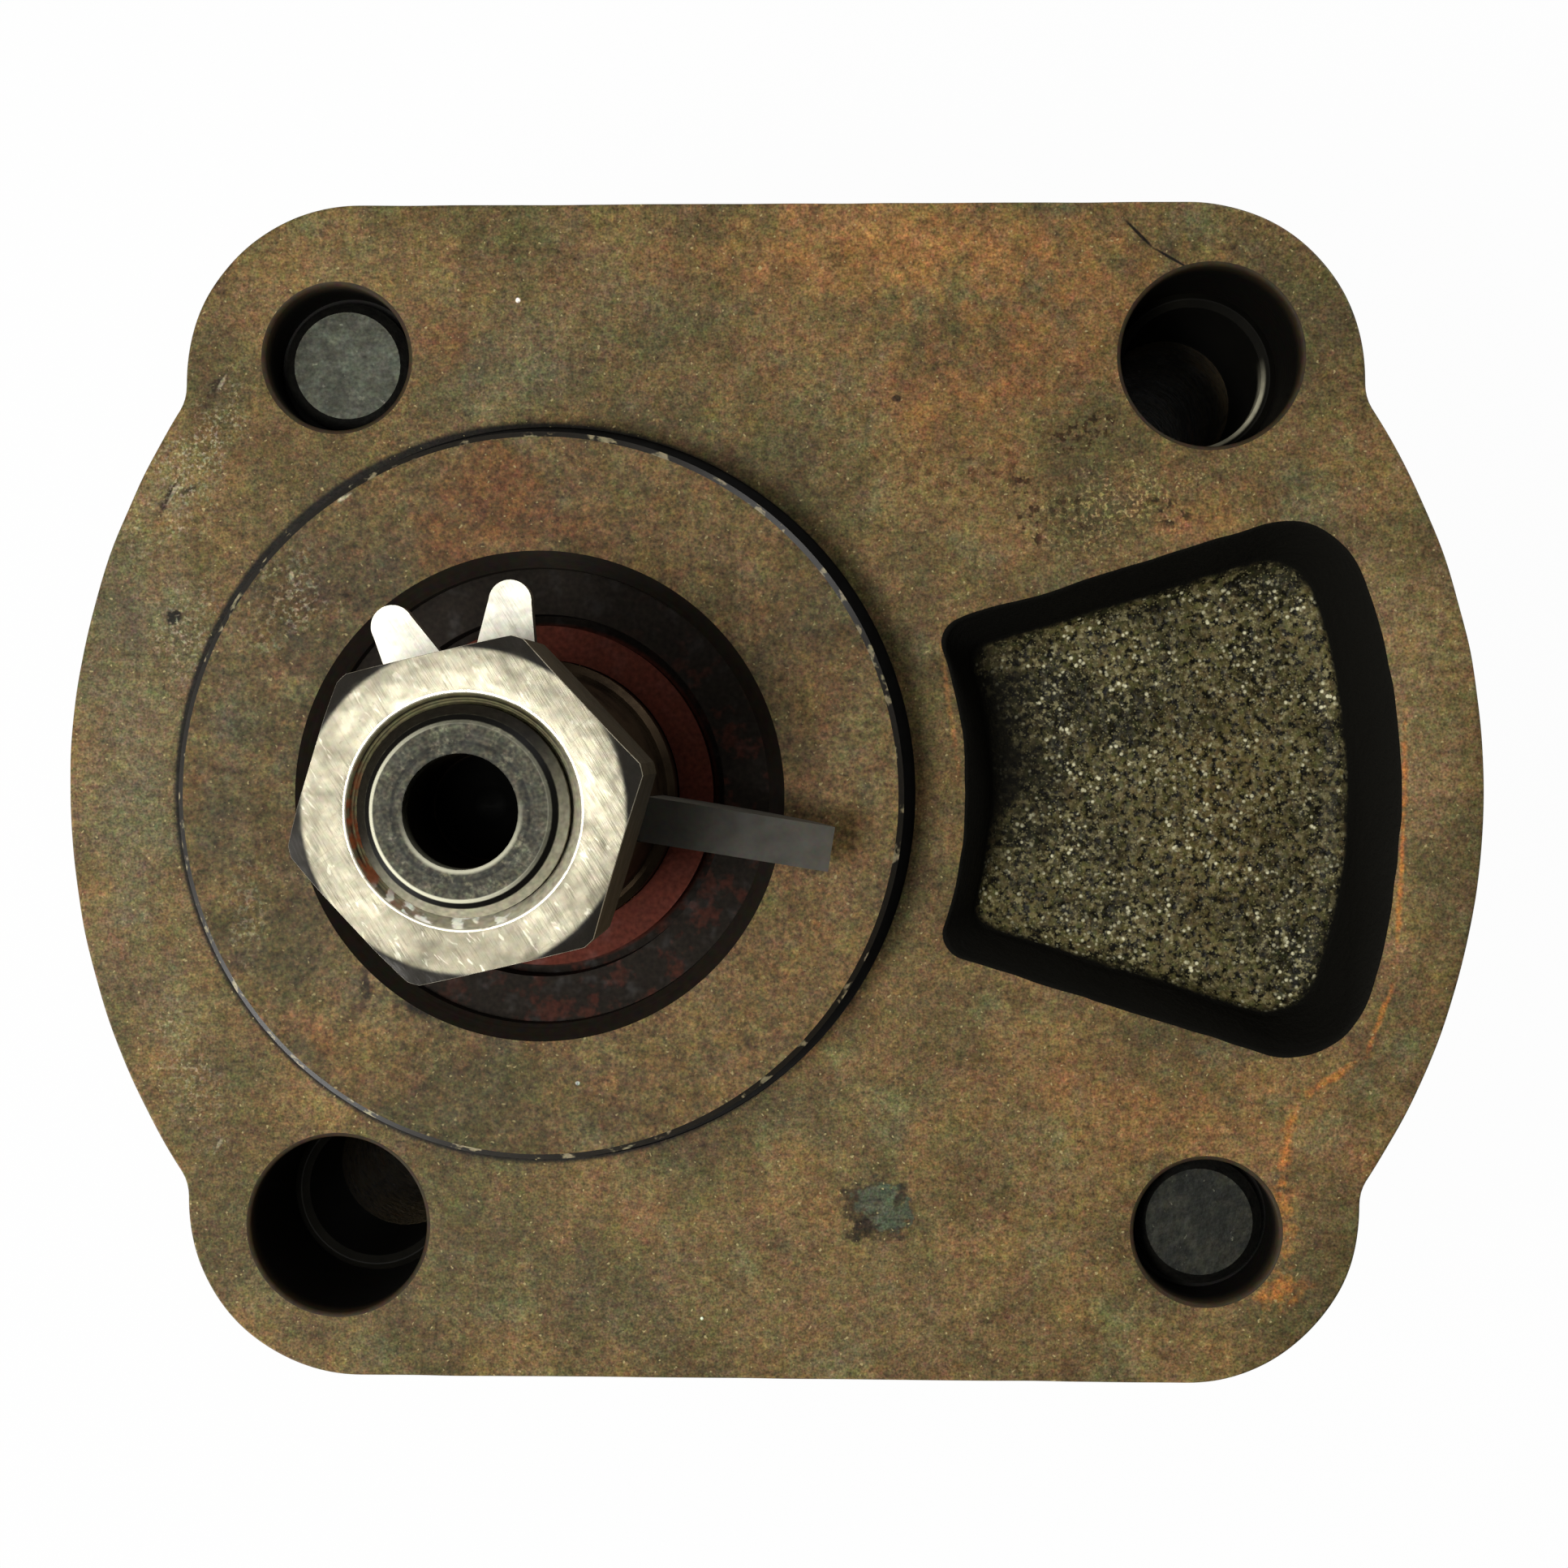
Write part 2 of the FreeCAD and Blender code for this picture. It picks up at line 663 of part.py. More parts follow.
def make_rear_cover():
    """End cover with a raised boss that the pump stands on."""
    body = new_body("rear_cover")
    cast_outline(body, EAR_Z, "Sizes.rear_thickness")
    ear, joint = number(EAR_Z), number(REAR_JOINT_Z)
    dress(
        body, "Chamfer", "outer_edge", "Sizes.rear_edge",
        lambda edge: flat_at(edge, ear) and outer_edge(edge),
    )
    dress(
        body, "Chamfer", "joint_edge", "Sizes.joint_chamfer",
        lambda edge: flat_at(edge, joint) and outer_edge(edge),
    )
    boss = new_sketch(body, "boss", height=FOOT_Z)
    stadium(boss, "Sizes.rear_boss_radius")
    pad(body, boss, "Sizes.boss_height")
    foot = number(FOOT_Z)
    dress(body, "Chamfer", "boss_edge", "Sizes.rear_boss_edge", lambda edge: flat_at(edge, foot))
    all_corners = CLAMP_CORNERS + DOWEL_CORNERS
    corner_holes(
        body, "spotfaces", all_corners, EAR_Z, "Sizes.spotface_diameter",
        "Sizes.spotface_depth", True,
    )
    corner_holes(
        body, "clamp_holes", CLAMP_CORNERS, REAR_JOINT_Z, "Sizes.clamp_hole_diameter",
        "Sizes.rear_thickness",
    )
    corner_holes(
        body, "mounting_holes", DOWEL_CORNERS, REAR_JOINT_Z, "Sizes.mounting_hole_diameter",
        "Sizes.rear_thickness",
    )
    corner_holes(
        body, "dowel_seats", DOWEL_CORNERS, REAR_JOINT_Z, "Sizes.dowel_diameter",
        "Sizes.dowel_seat",
    )
    balance_groove(body, REAR_JOINT_Z, False)
    drains = new_sketch(body, "drains", height=REAR_JOINT_Z)
    for x in ("0", "Sizes.centre_distance"):
        draw_circle(drains, x, "0", "Sizes.drain_diameter / 2")
    pocket(body, drains, "Sizes.drain_depth")
    slot = new_sketch(body, "drain_slot", height=REAR_JOINT_Z)
    half = "Sizes.drain_slot_width / 2"
    far = "Sizes.centre_distance"
    draw_polygon(slot, (("0", f"-{half}"), (far, f"-{half}"), (far, half), ("0", half)))
    pocket(body, slot, "Sizes.drain_slot_depth")
    return body


def involute(angle):
    """Involute function of a pressure angle in radians."""
    return math.tan(angle) - angle


def tooth_half_angle(radius):
    """Half of the angle that one tooth fills at a radius, with the backlash taken off."""
    pitch_radius = number("Sizes.centre_distance / 2")
    pressure = math.radians(number("Sizes.pressure_angle"))
    base_radius = pitch_radius * math.cos(pressure)
    at_pitch = math.pi / (2 * number("Sizes.tooth_count"))
    at_pitch -= number("Sizes.backlash") / (4 * pitch_radius)
    local = math.acos(min(1.0, base_radius / radius))
    return at_pitch + involute(pressure) - involute(local)


def add_teeth(body, middle_angle):
    """Involute teeth on the root cylinder: one tooth, repeated round the shaft.

    A flank is an arc through three points of the involute, and below the base circle it
    runs radially into the root.
    """
    tip = number("Sizes.gear_diameter") / 2
    root = number("Sizes.gear_root_diameter") / 2
    pitch_radius = number("Sizes.centre_distance / 2")
    base = pitch_radius * math.cos(math.radians(number("Sizes.pressure_angle")))
    sunk = root - OVERLAP

    def place(radius, side):
        angle = middle_angle + side * tooth_half_angle(max(radius, base))
        return Vector(radius * math.cos(angle), radius * math.sin(angle), 0)

    sketch = new_sketch(body, "tooth", height=GEAR_BOTTOM_Z)
    middle = (base + tip) / 2
    crown = Vector(tip * math.cos(middle_angle), tip * math.sin(middle_angle), 0)
    edges = (
        Part.LineSegment(place(sunk, -1), place(base, -1)),
        Part.Arc(place(base, -1), place(middle, -1), place(tip, -1)),
        Part.Arc(place(tip, -1), crown, place(tip, 1)),
        Part.Arc(place(tip, 1), place(middle, 1), place(base, 1)),
        Part.LineSegment(place(base, 1), place(sunk, 1)),
        Part.LineSegment(place(sunk, 1), place(sunk, -1)),
    )
    for edge in edges:
        sketch.addGeometry(edge, False)
    for i in range(len(edges)):
        sketch.addConstraint(Sketcher.Constraint("Block", i))
    tooth = pad(body, sketch, "Sizes.gear_width")
    pattern = body.newObject("PartDesign::PolarPattern", f"{body.Name}_teeth")
    pattern.Originals = [tooth]
    pattern.Axis = (sketch, ["N_Axis"])
    pattern.Angle = FULL_TURN
    pattern.setExpression("Occurrences", "Sizes.tooth_count")
    body.Tip = pattern
    doc.recompute()


def make_drive_gear_shaft():
    """Drive shaft in one piece with its gear: journals, taper, thread and key slot."""
    body = new_body("drive_gear_shaft")
    profile = new_sketch(body, "profile", "XZ_Plane")
    journal = "Sizes.journal_diameter / 2"
    root = "Sizes.gear_root_diameter / 2"
    big = "Sizes.taper_big_diameter / 2"
    small = f"{big} - (Sizes.taper_top - Sizes.seal_journal_top) / Sizes.taper_ratio / 2"
    thread = "Sizes.thread_diameter / 2"
    hole = "Sizes.centre_hole_diameter / 2"
    hole_floor = "Sizes.shaft_top - Sizes.centre_hole_depth"
    end = f"{REAR_JOINT_Z} + Sizes.journal_end_gap"
    lead = "Sizes.joint_chamfer"
    draw_polygon(
        profile,
        (
            ("0", end),
            (f"{journal} - {lead}", end),
            (journal, f"{end} + {lead}"),
            (journal, GEAR_BOTTOM_Z),
            (root, GEAR_BOTTOM_Z),
            (root, GEAR_TOP_Z),
            (journal, GEAR_TOP_Z),
            (journal, f"Sizes.seal_journal_top - {lead}"),
            (f"{journal} - {lead}", "Sizes.seal_journal_top"),
            (big, "Sizes.seal_journal_top"),
            (small, "Sizes.taper_top"),
            (thread, "Sizes.taper_top"),
            (thread, "Sizes.shaft_top - Sizes.thread_chamfer"),
            (f"{thread} - Sizes.thread_chamfer", "Sizes.shaft_top"),
            (hole, "Sizes.shaft_top"),
            (hole, hole_floor),
            ("0", f"{hole_floor} - ({hole}) / 2"),
        ),
    )
    turn(body, profile)
    add_teeth(body, 0.0)
    slot = new_sketch(body, "key_slot", "XZ_Plane")
    slot.AttachmentOffset = FreeCAD.Placement(Vector(), FreeCAD.Rotation(Vector(0, 1, 0), 1))
    slot.setExpression("AttachmentOffset.Rotation.Angle", "Sizes.key_angle")
    draw_circle(
        slot, "Sizes.key_pivot_radius", "Sizes.key_pivot_height",
        "Sizes.key_diameter / 2 + Sizes.key_slot_clearance",
    )
    cut = pocket(body, slot, "Sizes.key_width + 2 * Sizes.key_side_clearance")
    cut.Midplane = True
    doc.recompute()
    return body


def make_driven_gear_shaft():
    """Second gear with its two journals, meshed with the first at rest."""
    body = new_body("driven_gear_shaft")
    profile = new_sketch(body, "profile", "XZ_Plane")
    journal = "Sizes.journal_diameter / 2"
    root = "Sizes.gear_root_diameter / 2"
    low = f"{REAR_JOINT_Z} + Sizes.journal_end_gap"
    high = f"{JOINT_Z} - Sizes.journal_end_gap"
    lead = "Sizes.joint_chamfer"
    draw_polygon(
        profile,
        (
            ("0", low),
            (f"{journal} - {lead}", low),
            (journal, f"{low} + {lead}"),
            (journal, GEAR_BOTTOM_Z),
            (root, GEAR_BOTTOM_Z),
            (root, GEAR_TOP_Z),
            (journal, GEAR_TOP_Z),
            (journal, f"{high} - {lead}"),
            (f"{journal} - {lead}", high),
            ("0", high),
        ),
    )
    turn(body, profile)
    add_teeth(body, math.pi + math.pi / number("Sizes.tooth_count"))
    body.setExpression("Placement.Base.x", "Sizes.centre_distance")
    return body


def make_bearing_block(end, shaft):
    """D-shaped floating block that carries one bush, with relief pockets at its flat."""
    body = new_body(f"{end}_bearing_block_{shaft}")
    facing = 1 if shaft == "drive" else -1
    front = end == "front"
    bottom = f"{JOINT_Z} - {BLOCK_LENGTH}" if front else f"{REAR_JOINT_Z}"
    radius = "Sizes.gear_diameter / 2"
    flat = f"({CENTRE_X} - Sizes.bearing_split_gap / 2)"
    chord = f"sqrt(({radius}) ^ 2 - {flat} ^ 2)"
    outline = new_sketch(body, "outline", height=bottom)
    x = f"{facing} * {flat}"
    low, high = (f"-{chord}", chord) if facing > 0 else (chord, f"-{chord}")
    draw_outline(outline, ((x, low, None), (x, high, ("0", "0", radius, True))))
    pad(body, outline, BLOCK_LENGTH)
    bore = new_sketch(body, "bore", height=f"{bottom} + {BLOCK_LENGTH}")
    draw_circle(bore, "0", "0", BUSH_RADIUS)
    pocket(body, bore, BLOCK_LENGTH)
    gear_face = bottom if front else f"{bottom} + {BLOCK_LENGTH}"
    relief = new_sketch(body, "relief", height=gear_face)
    near = f"{facing} * ({flat} - Sizes.relief_width)"
    beyond = f"{facing} * ({flat} + {OVERLAP})"
    for side in (1, -1):
        inner = f"{side} * Sizes.relief_offset"
        outer = f"{side} * (Sizes.relief_offset + Sizes.relief_height)"
        draw_polygon(relief, ((near, inner), (beyond, inner), (beyond, outer), (near, outer)))
    pocket(body, relief, "Sizes.relief_depth", front)
    oil = new_sketch(body, "oil_groove", height=f"{bottom} + {BLOCK_LENGTH}")
    draw_circle(oil, f"{-facing} * {BUSH_RADIUS}", "0", "Sizes.oil_groove_diameter / 2")
    pocket(body, oil, BLOCK_LENGTH)
    if shaft == "driven":
        body.setExpression("Placement.Base.x", "Sizes.centre_distance")
    return body


def make_bush(end, shaft):
    """Plain bush liner of a bearing block."""
    body = new_body(f"{end}_bush_{shaft}")
    bottom = f"{JOINT_Z} - {BLOCK_LENGTH}" if end == "front" else f"{REAR_JOINT_Z}"
    ring = new_sketch(body, "ring", height=bottom)
    draw_circle(ring, "0", "0", BUSH_RADIUS)
    draw_circle(ring, "0", "0", "Sizes.journal_diameter / 2 + Sizes.journal_clearance")
    pad(body, ring, BLOCK_LENGTH)
    if shaft == "driven":
        body.setExpression("Placement.Base.x", "Sizes.centre_distance")
    return body


def make_shaft_seal():
    """Rotary shaft seal: rubber with a dust lip and a main lip, steel case and spring.

    Heights are measured down from the seal's outer face, and radii out from the lip's edge.
    """
    outer = "(Sizes.seal_recess_diameter / 2 - Sizes.seal_fit)"
    shaft = "(Sizes.journal_diameter / 2 + Sizes.lip_clearance)"
    inner_wall = f"({outer} - Sizes.seal_skin)"
    groove_out = f"({shaft} + Sizes.dust_lip_width + Sizes.seal_face_groove)"
    groove_in = f"({shaft} + Sizes.dust_lip_width)"
    waist = f"({shaft} + Sizes.lip_waist)"
    plate_in = f"({groove_out} + Sizes.lip_clearance)"
    back = f"({shaft} + Sizes.lip_thickness)"
    notch = f"({back} - Sizes.spring_sink)"

    def down(depth):
        return f"(Sizes.pilot_height - Sizes.seal_sink - {depth})"

    spring = "Sizes.spring_place"
    half_notch = "(Sizes.spring_wire / 2 + Sizes.seal_fit)"
    lip = new_body("shaft_seal_lip")
    rubber = new_sketch(lip, "profile", "XZ_Plane")
    draw_polygon(
        rubber,
        (
            (outer, down("Sizes.seal_height")),
            (outer, down("0")),
            (groove_out, down("0")),
            (groove_out, down("Sizes.seal_groove_sink")),
            (groove_in, down("Sizes.seal_groove_sink")),
            (groove_in, down("Sizes.dust_lip_sink")),
            (shaft, down("Sizes.dust_lip_sink")),
            (waist, down("Sizes.seal_groove_sink")),
            (waist, down(f"({spring} - Sizes.lip_thickness / 2)")),
            (shaft, down(f"({spring} + Sizes.dust_lip_sink)")),
            (back, down(f"({spring} + {half_notch} + Sizes.lip_waist)")),
            (back, down(f"({spring} + {half_notch})")),
            (notch, down(f"({spring} + {half_notch})")),
            (notch, down(f"({spring} - {half_notch})")),
            (back, down(f"({spring} - {half_notch})")),
            (back, down("(Sizes.seal_groove_sink + Sizes.seal_skin)")),
            (plate_in, down("(Sizes.seal_groove_sink + Sizes.seal_skin)")),
            (plate_in, down("Sizes.seal_skin")),
            (inner_wall, down("Sizes.seal_skin")),
            (inner_wall, down("Sizes.seal_height")),
        ),
    )
    turn(lip, rubber)
    case = new_body("shaft_seal_case")
    steel = new_sketch(case, "profile", "XZ_Plane")
    plate = "Sizes.seal_case_plate"
    draw_polygon(
        steel,
        (
            (inner_wall, down("Sizes.seal_height")),
            (inner_wall, down("Sizes.seal_skin")),
            (plate_in, down("Sizes.seal_skin")),
            (plate_in, down(f"(Sizes.seal_skin + {plate})")),
            (f"{inner_wall} - {plate}", down(f"(Sizes.seal_skin + {plate})")),
            (f"{inner_wall} - {plate}", down("Sizes.seal_height")),
        ),
    )
    turn(case, steel)
    ring = new_body("seal_garter_spring")
    coil = new_sketch(ring, "profile", "XZ_Plane")
    hexagon(coil, "Sizes.spring_wire", "0", f"{notch} + Sizes.spring_wire / 2 / cos(30)", down(spring))
    turn(ring, coil)
    return [lip, case, ring]


def make_body_seal(end):
    """Square-cut ring that fills a groove of the body round both gears."""
    body = new_body(f"{end}_body_seal")
    bottom = f"{JOINT_Z} - Sizes.seal_groove_depth" if end == "front" else REAR_JOINT_Z
    ring = new_sketch(body, "ring", height=bottom)
    stadium(ring, "Sizes.body_seal_radius + Sizes.body_seal_width / 2")
    stadium(ring, "Sizes.body_seal_radius - Sizes.body_seal_width / 2")
    pad(body, ring, "Sizes.seal_groove_depth")
    return body


def make_balance_seal(end):
    """Figure-eight seal that presses one pair of bearing blocks against the gears."""
    body = new_body(f"{end}_balance_seal")
    bottom = JOINT_Z if end == "front" else f"{REAR_JOINT_Z} - Sizes.balance_depth"
    sketch = new_sketch(body, "eight", height=bottom)
    figure_eight(sketch, "Sizes.balance_outer_radius")
    for x in ("0", "Sizes.centre_distance"):
        draw_circle(sketch, x, "0", "Sizes.balance_inner_radius")
    pad(body, sketch, "Sizes.balance_depth")
    return body


def make_backup_ring(end):
    """Stiff ring round a balance seal."""
    body = new_body(f"{end}_backup_ring")
    bottom = JOINT_Z if end == "front" else f"{REAR_JOINT_Z} - Sizes.balance_depth"
    sketch = new_sketch(body, "ring", height=bottom)
    figure_eight(sketch, "Sizes.balance_outer_radius + Sizes.backup_width")
    figure_eight(sketch, "Sizes.balance_outer_radius")
    pad(body, sketch, "Sizes.balance_depth")
    return body


def make_group(name, members):
    """Join identical fasteners into one named group of separate solids."""
    group = doc.addObject("Part::Compound", name)
    group.Label = name
    group.Links = members
    doc.recompute()
    return group


def make_dowel(name, signs, length, bottom, rim=False):
    """Hollow dowel round one mounting bolt hole, with a chamfered upper rim where it shows."""
    body = new_body(name)
    ring = new_sketch(body, "ring")
    draw_circle(ring, "0", "0", "Sizes.dowel_diameter / 2")
    draw_circle(ring, "0", "0", "Sizes.mounting_hole_diameter / 2")
    pad(body, ring, length)
    if rim:
        top = number(length)
        dress(body, "Chamfer", "rim", "Sizes.dowel_rim", lambda edge: flat_at(edge, top))
    x, y = corner_place(signs)
    body.setExpression("Placement.Base.x", x)
    body.setExpression("Placement.Base.y", y)
    body.setExpression("Placement.Base.z", bottom)
    doc.recompute()
    return body


def make_sleeve_dowels():
    """The two pairs of hollow dowels that line the covers up with the body."""
    low = f"{JOINT_Z} - Sizes.dowel_seat"
    lengths = ("Sizes.long_dowel", "Sizes.short_dowel")
    fronts = [
        make_dowel(f"front_dowel_{i}", signs, length, low, rim=True)
        for i, (signs, length) in enumerate(zip(DOWEL_CORNERS, lengths), 1)
    ]
    rear_low = f"{REAR_JOINT_Z} - Sizes.rear_dowel / 2"
    rears = [
        make_dowel(f"rear_dowel_{i}", signs, "Sizes.rear_dowel", rear_low)
        for i, signs in enumerate(DOWEL_CORNERS, 1)
    ]
    return [make_group("front_sleeve_dowels", fronts), make_group("rear_sleeve_dowels", rears)]


def hexagon(sketch, flats, angle="0", x="0", y="0"):
    """Regular hexagon about a point, with one corner at an angle."""
    corners = []
    for step in range(6):
        turned = f"({angle} + {60 * step})"
        reach = f"{flats} / 2 / cos(30)"
        corners.append((f"{x} + {reach} * cos({turned})", f"{y} + {reach} * sin({turned})"))
    draw_polygon(sketch, corners)


def crown_corners(body, name, flats, chamfer, height, upwards):
    """Turn the corners of a hexagon down to a cone at one of its faces."""
    sketch = new_sketch(body, name, "XZ_Plane")
    corner = f"({flats} / 2 / cos(30))"
    start = f"({corner} - {chamfer})"
    fall = 1 if upwards else -1
    slope = "tan(30)"
    draw_polygon(
        sketch,
        (
            (start, height),
            (f"{corner} + {OVERLAP}", f"{height} + {fall} * ({chamfer} + {OVERLAP}) * {slope}"),
            (f"{corner} + {OVERLAP}", f"{height} - {fall} * {OVERLAP}"),
            (start, f"{height} - {fall} * {OVERLAP}"),
        ),
    )
    turn(body, sketch, cut=True)


def make_clamp_bolts():
    """The pump's own two long bolts, their heads under the rear cover."""
    bolts = []
    washers = []
    head_top = f"{HEAD_SEAT_Z} - Sizes.washer_thickness"
    head_low = f"{head_top} - Sizes.bolt_head_height"
    tip = "-Sizes.clamp_bolt_sink"
    for i, signs in enumerate(CLAMP_CORNERS, 1):
        x, y = corner_place(signs)
        bolt = new_body(f"clamp_bolt_{i}")
        head = new_sketch(bolt, "head", height=head_low)
        hexagon(head, "Sizes.bolt_head_flats")
        pad(bolt, head, "Sizes.bolt_head_height")
        crown_corners(
            bolt, "crown", "Sizes.bolt_head_flats", "Sizes.nut_chamfer", head_low, True
        )
        shank = new_sketch(bolt, "shank", height=head_top)
        draw_circle(shank, "0", "0", "Sizes.clamp_bolt_diameter / 2")
        pad(bolt, shank, f"{tip} - ({head_top})")
        end = number(tip)
        dress(
            bolt, "Chamfer", "tip", "Sizes.bolt_tip_chamfer",
            lambda edge, end=end: flat_at(edge, end),
        )
        washer = new_body(f"clamp_washer_{i}")
        ring = new_sketch(washer, "ring", height=head_top)
        draw_circle(ring, "0", "0", "Sizes.washer_diameter / 2")
        draw_circle(ring, "0", "0", "Sizes.clamp_bolt_diameter / 2 + Sizes.washer_gap")
        pad(washer, ring, "Sizes.washer_thickness")
        for piece in (bolt, washer):
            piece.setExpression("Placement.Base.x", x)
            piece.setExpression("Placement.Base.y", y)
        bolts.append(bolt)
        washers.append(washer)
    doc.recompute()
    return [make_group("clamp_bolts", bolts), make_group("clamp_bolt_washers", washers)]


def make_shaft_nut():
    """Hexagon nut on the shaft's thread."""
    body = new_body("shaft_nut")
    bottom = f"({TAB_TOP_Z} + Sizes.stack_gap)"
    top = f"({bottom} + Sizes.nut_thickness)"
    outline = new_sketch(body, "hexagon", height=bottom)
    hexagon(outline, "Sizes.nut_flats", "Sizes.nut_angle")
    draw_circle(outline, "0", "0", "Sizes.thread_diameter / 2 + Sizes.thread_gap")
    pad(body, outline, "Sizes.nut_thickness")
    crown_corners(body, "top_crown", "Sizes.nut_flats", "Sizes.nut_chamfer", top, False)
    crown_corners(body, "low_crown", "Sizes.nut_flats", "Sizes.nut_chamfer", bottom, True)
    bore = number("Sizes.thread_diameter / 2 + Sizes.thread_gap")
    dress(
        body, "Chamfer", "countersink",
        "(Sizes.nut_countersink - Sizes.thread_diameter) / 2 - Sizes.thread_gap",
        lambda edge: radius_from(edge, 0, 0)[1] < bore + 0.01
        and (flat_at(edge, number(top)) or flat_at(edge, number(bottom))),
    )
    return body


def make_tab_washer():
    """Lock washer under the nut, with two rounded fingers."""
    body = new_body("tab_washer")
    seat = "(Sizes.taper_top + Sizes.stack_gap)"
    ring = new_sketch(body, "ring", height=seat)
    draw_circle(ring, "0", "0", "Sizes.tab_ring_diameter / 2")
    draw_circle(ring, "0", "0", "Sizes.thread_diameter / 2 + Sizes.thread_gap")
    pad(body, ring, "Sizes.tab_thickness")
    root = f"(Sizes.tab_ring_diameter / 2 - {OVERLAP})"
    centre = "(Sizes.tab_reach - Sizes.tab_tip_radius)"
    for name, angle in (("first", "Sizes.first_tab_angle"), ("second", "Sizes.second_tab_angle")):
        finger = new_sketch(body, f"{name}_finger", height=seat)

        def along(radius, across, angle=angle):
            x = f"({radius} * cos({angle}) - {across} * sin({angle}))"
            return x, f"({radius} * sin({angle}) + {across} * cos({angle}))"

        half = "(Sizes.tab_root_width / 2)"
        tip = "Sizes.tab_tip_radius"
        draw_outline(
            finger,
            (
                (*along(root, f"(-{half})"), None),
                (*along(centre, f"(-{tip})"), (*along(centre, "0"), tip, True)),
                (*along(centre, tip), None),
                (*along(root, half), None),
            ),
        )
        pad(body, finger, "Sizes.tab_thickness")
    return body


def make_woodruff_key():
    """Half-round key, rocked over in its slot so that its flat faces up."""
    body = new_body("woodruff_key")
    sketch = new_sketch(body, "segment", "XZ_Plane")
    radius = "Sizes.key_diameter / 2"
    half = f"sqrt(({radius}) ^ 2 - Sizes.key_flat_drop ^ 2)"
    level = "Sizes.key_pivot_height - Sizes.key_flat_drop"
    pivot = "Sizes.key_pivot_radius"
    draw_outline(
        sketch,
        (
            (f"{pivot} + {half}", level, None),
            (f"{pivot} - {half}", level, (pivot, "Sizes.key_pivot_height", radius, True)),
        ),
    )
    plate = pad(body, sketch, "Sizes.key_width")
    plate.Midplane = True
    doc.recompute()
    return body


def turn_about_shaft(body, angle):
    """Turn a finished sub-part about the drive axis."""
    body.Placement.Rotation = FreeCAD.Rotation(Vector(0, 0, 1), 1)
    body.setExpression("Placement.Rotation.Angle", angle)
    doc.recompute()


def make_pump():
    """Every sub-part of the pump."""
    parts = [make_front_cover(), make_pump_body(), make_rear_cover()]
    parts.append(make_drive_gear_shaft())
    parts.append(make_driven_gear_shaft())
    for end in ("front", "rear"):
        for shaft in ("drive", "driven"):
            parts.append(make_bearing_block(end, shaft))
            parts.append(make_bush(end, shaft))
        parts.append(make_body_seal(end))
        parts.append(make_balance_seal(end))
        parts.append(make_backup_ring(end))
    parts.extend(make_shaft_seal())
    parts.extend(make_sleeve_dowels())
    parts.extend(make_clamp_bolts())
    parts.append(make_shaft_nut())
    parts.append(make_tab_washer())
    key = make_woodruff_key()
    turn_about_shaft(key, "Sizes.key_angle")
    parts.append(key)
    return parts


parts = make_pump()
doc.recompute()
for item in doc.Objects:
    if "Invalid" in item.State or "Error" in item.State:
        raise RuntimeError(f"{item.Label} failed: {item.State}")
for part in parts:
    if part.Shape.isNull() or not part.Shape.isValid():
        raise RuntimeError(f"{part.Label} has no sound shape")
os.makedirs("parts", exist_ok=True)
for part in parts:
    part.Shape.exportStep(f"parts/{part.Label}.step")
    print(part.Label, len(part.Shape.Solids), round(part.Shape.Volume, 1))
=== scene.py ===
import logging
import math
from collections.abc import Sequence
from dataclasses import dataclass, field
from enum import Enum, IntEnum
from typing import Protocol

import bmesh
import bpy
import numpy as np
from mathutils import Matrix, Vector
from mathutils.geometry import delaunay_2d_cdt


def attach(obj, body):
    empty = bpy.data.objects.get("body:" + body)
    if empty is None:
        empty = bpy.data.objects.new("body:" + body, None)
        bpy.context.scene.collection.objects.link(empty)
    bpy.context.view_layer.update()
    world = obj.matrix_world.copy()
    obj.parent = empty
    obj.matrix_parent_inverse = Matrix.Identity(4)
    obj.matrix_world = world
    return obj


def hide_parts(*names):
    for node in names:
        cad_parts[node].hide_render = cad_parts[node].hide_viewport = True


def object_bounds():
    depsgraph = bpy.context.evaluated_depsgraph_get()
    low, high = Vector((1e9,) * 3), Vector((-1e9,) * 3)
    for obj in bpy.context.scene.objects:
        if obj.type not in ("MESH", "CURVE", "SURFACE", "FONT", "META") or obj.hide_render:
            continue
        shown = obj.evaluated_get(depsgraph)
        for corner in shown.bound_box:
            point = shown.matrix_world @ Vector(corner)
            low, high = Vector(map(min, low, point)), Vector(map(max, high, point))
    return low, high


# Looks of a two-gear hydraulic pump, seen down its tapered drive shaft.
# Sizes and places are in millimetres in the pump's own frame: the origin lies on the drive
# axis at the mounting face, Z runs out along the shaft and X points to the driven gear.
# A mesh or a shader node gets them multiplied by MM.

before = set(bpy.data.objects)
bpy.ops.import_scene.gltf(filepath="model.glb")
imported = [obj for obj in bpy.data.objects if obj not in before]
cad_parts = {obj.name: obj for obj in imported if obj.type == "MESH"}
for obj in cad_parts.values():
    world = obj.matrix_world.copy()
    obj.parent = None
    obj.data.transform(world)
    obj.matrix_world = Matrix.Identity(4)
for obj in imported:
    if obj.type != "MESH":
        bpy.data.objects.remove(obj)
CAD_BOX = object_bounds()

MM = 0.001
# A reach so long that a coordinate no longer counts, in millimetres
FAR = 1e6
FULL_TURN = 2 * math.pi
LOG = logging.getLogger("pump")

Colour = tuple[float, float, float, float]
Socket = bpy.types.NodeSocket
Value = float | Colour | Socket


class Mixing(Enum):
    """Ways of laying one colour over another."""

    PLAIN = "MIX"
    TIMES = "MULTIPLY"
    STAIN = "SOFT_LIGHT"


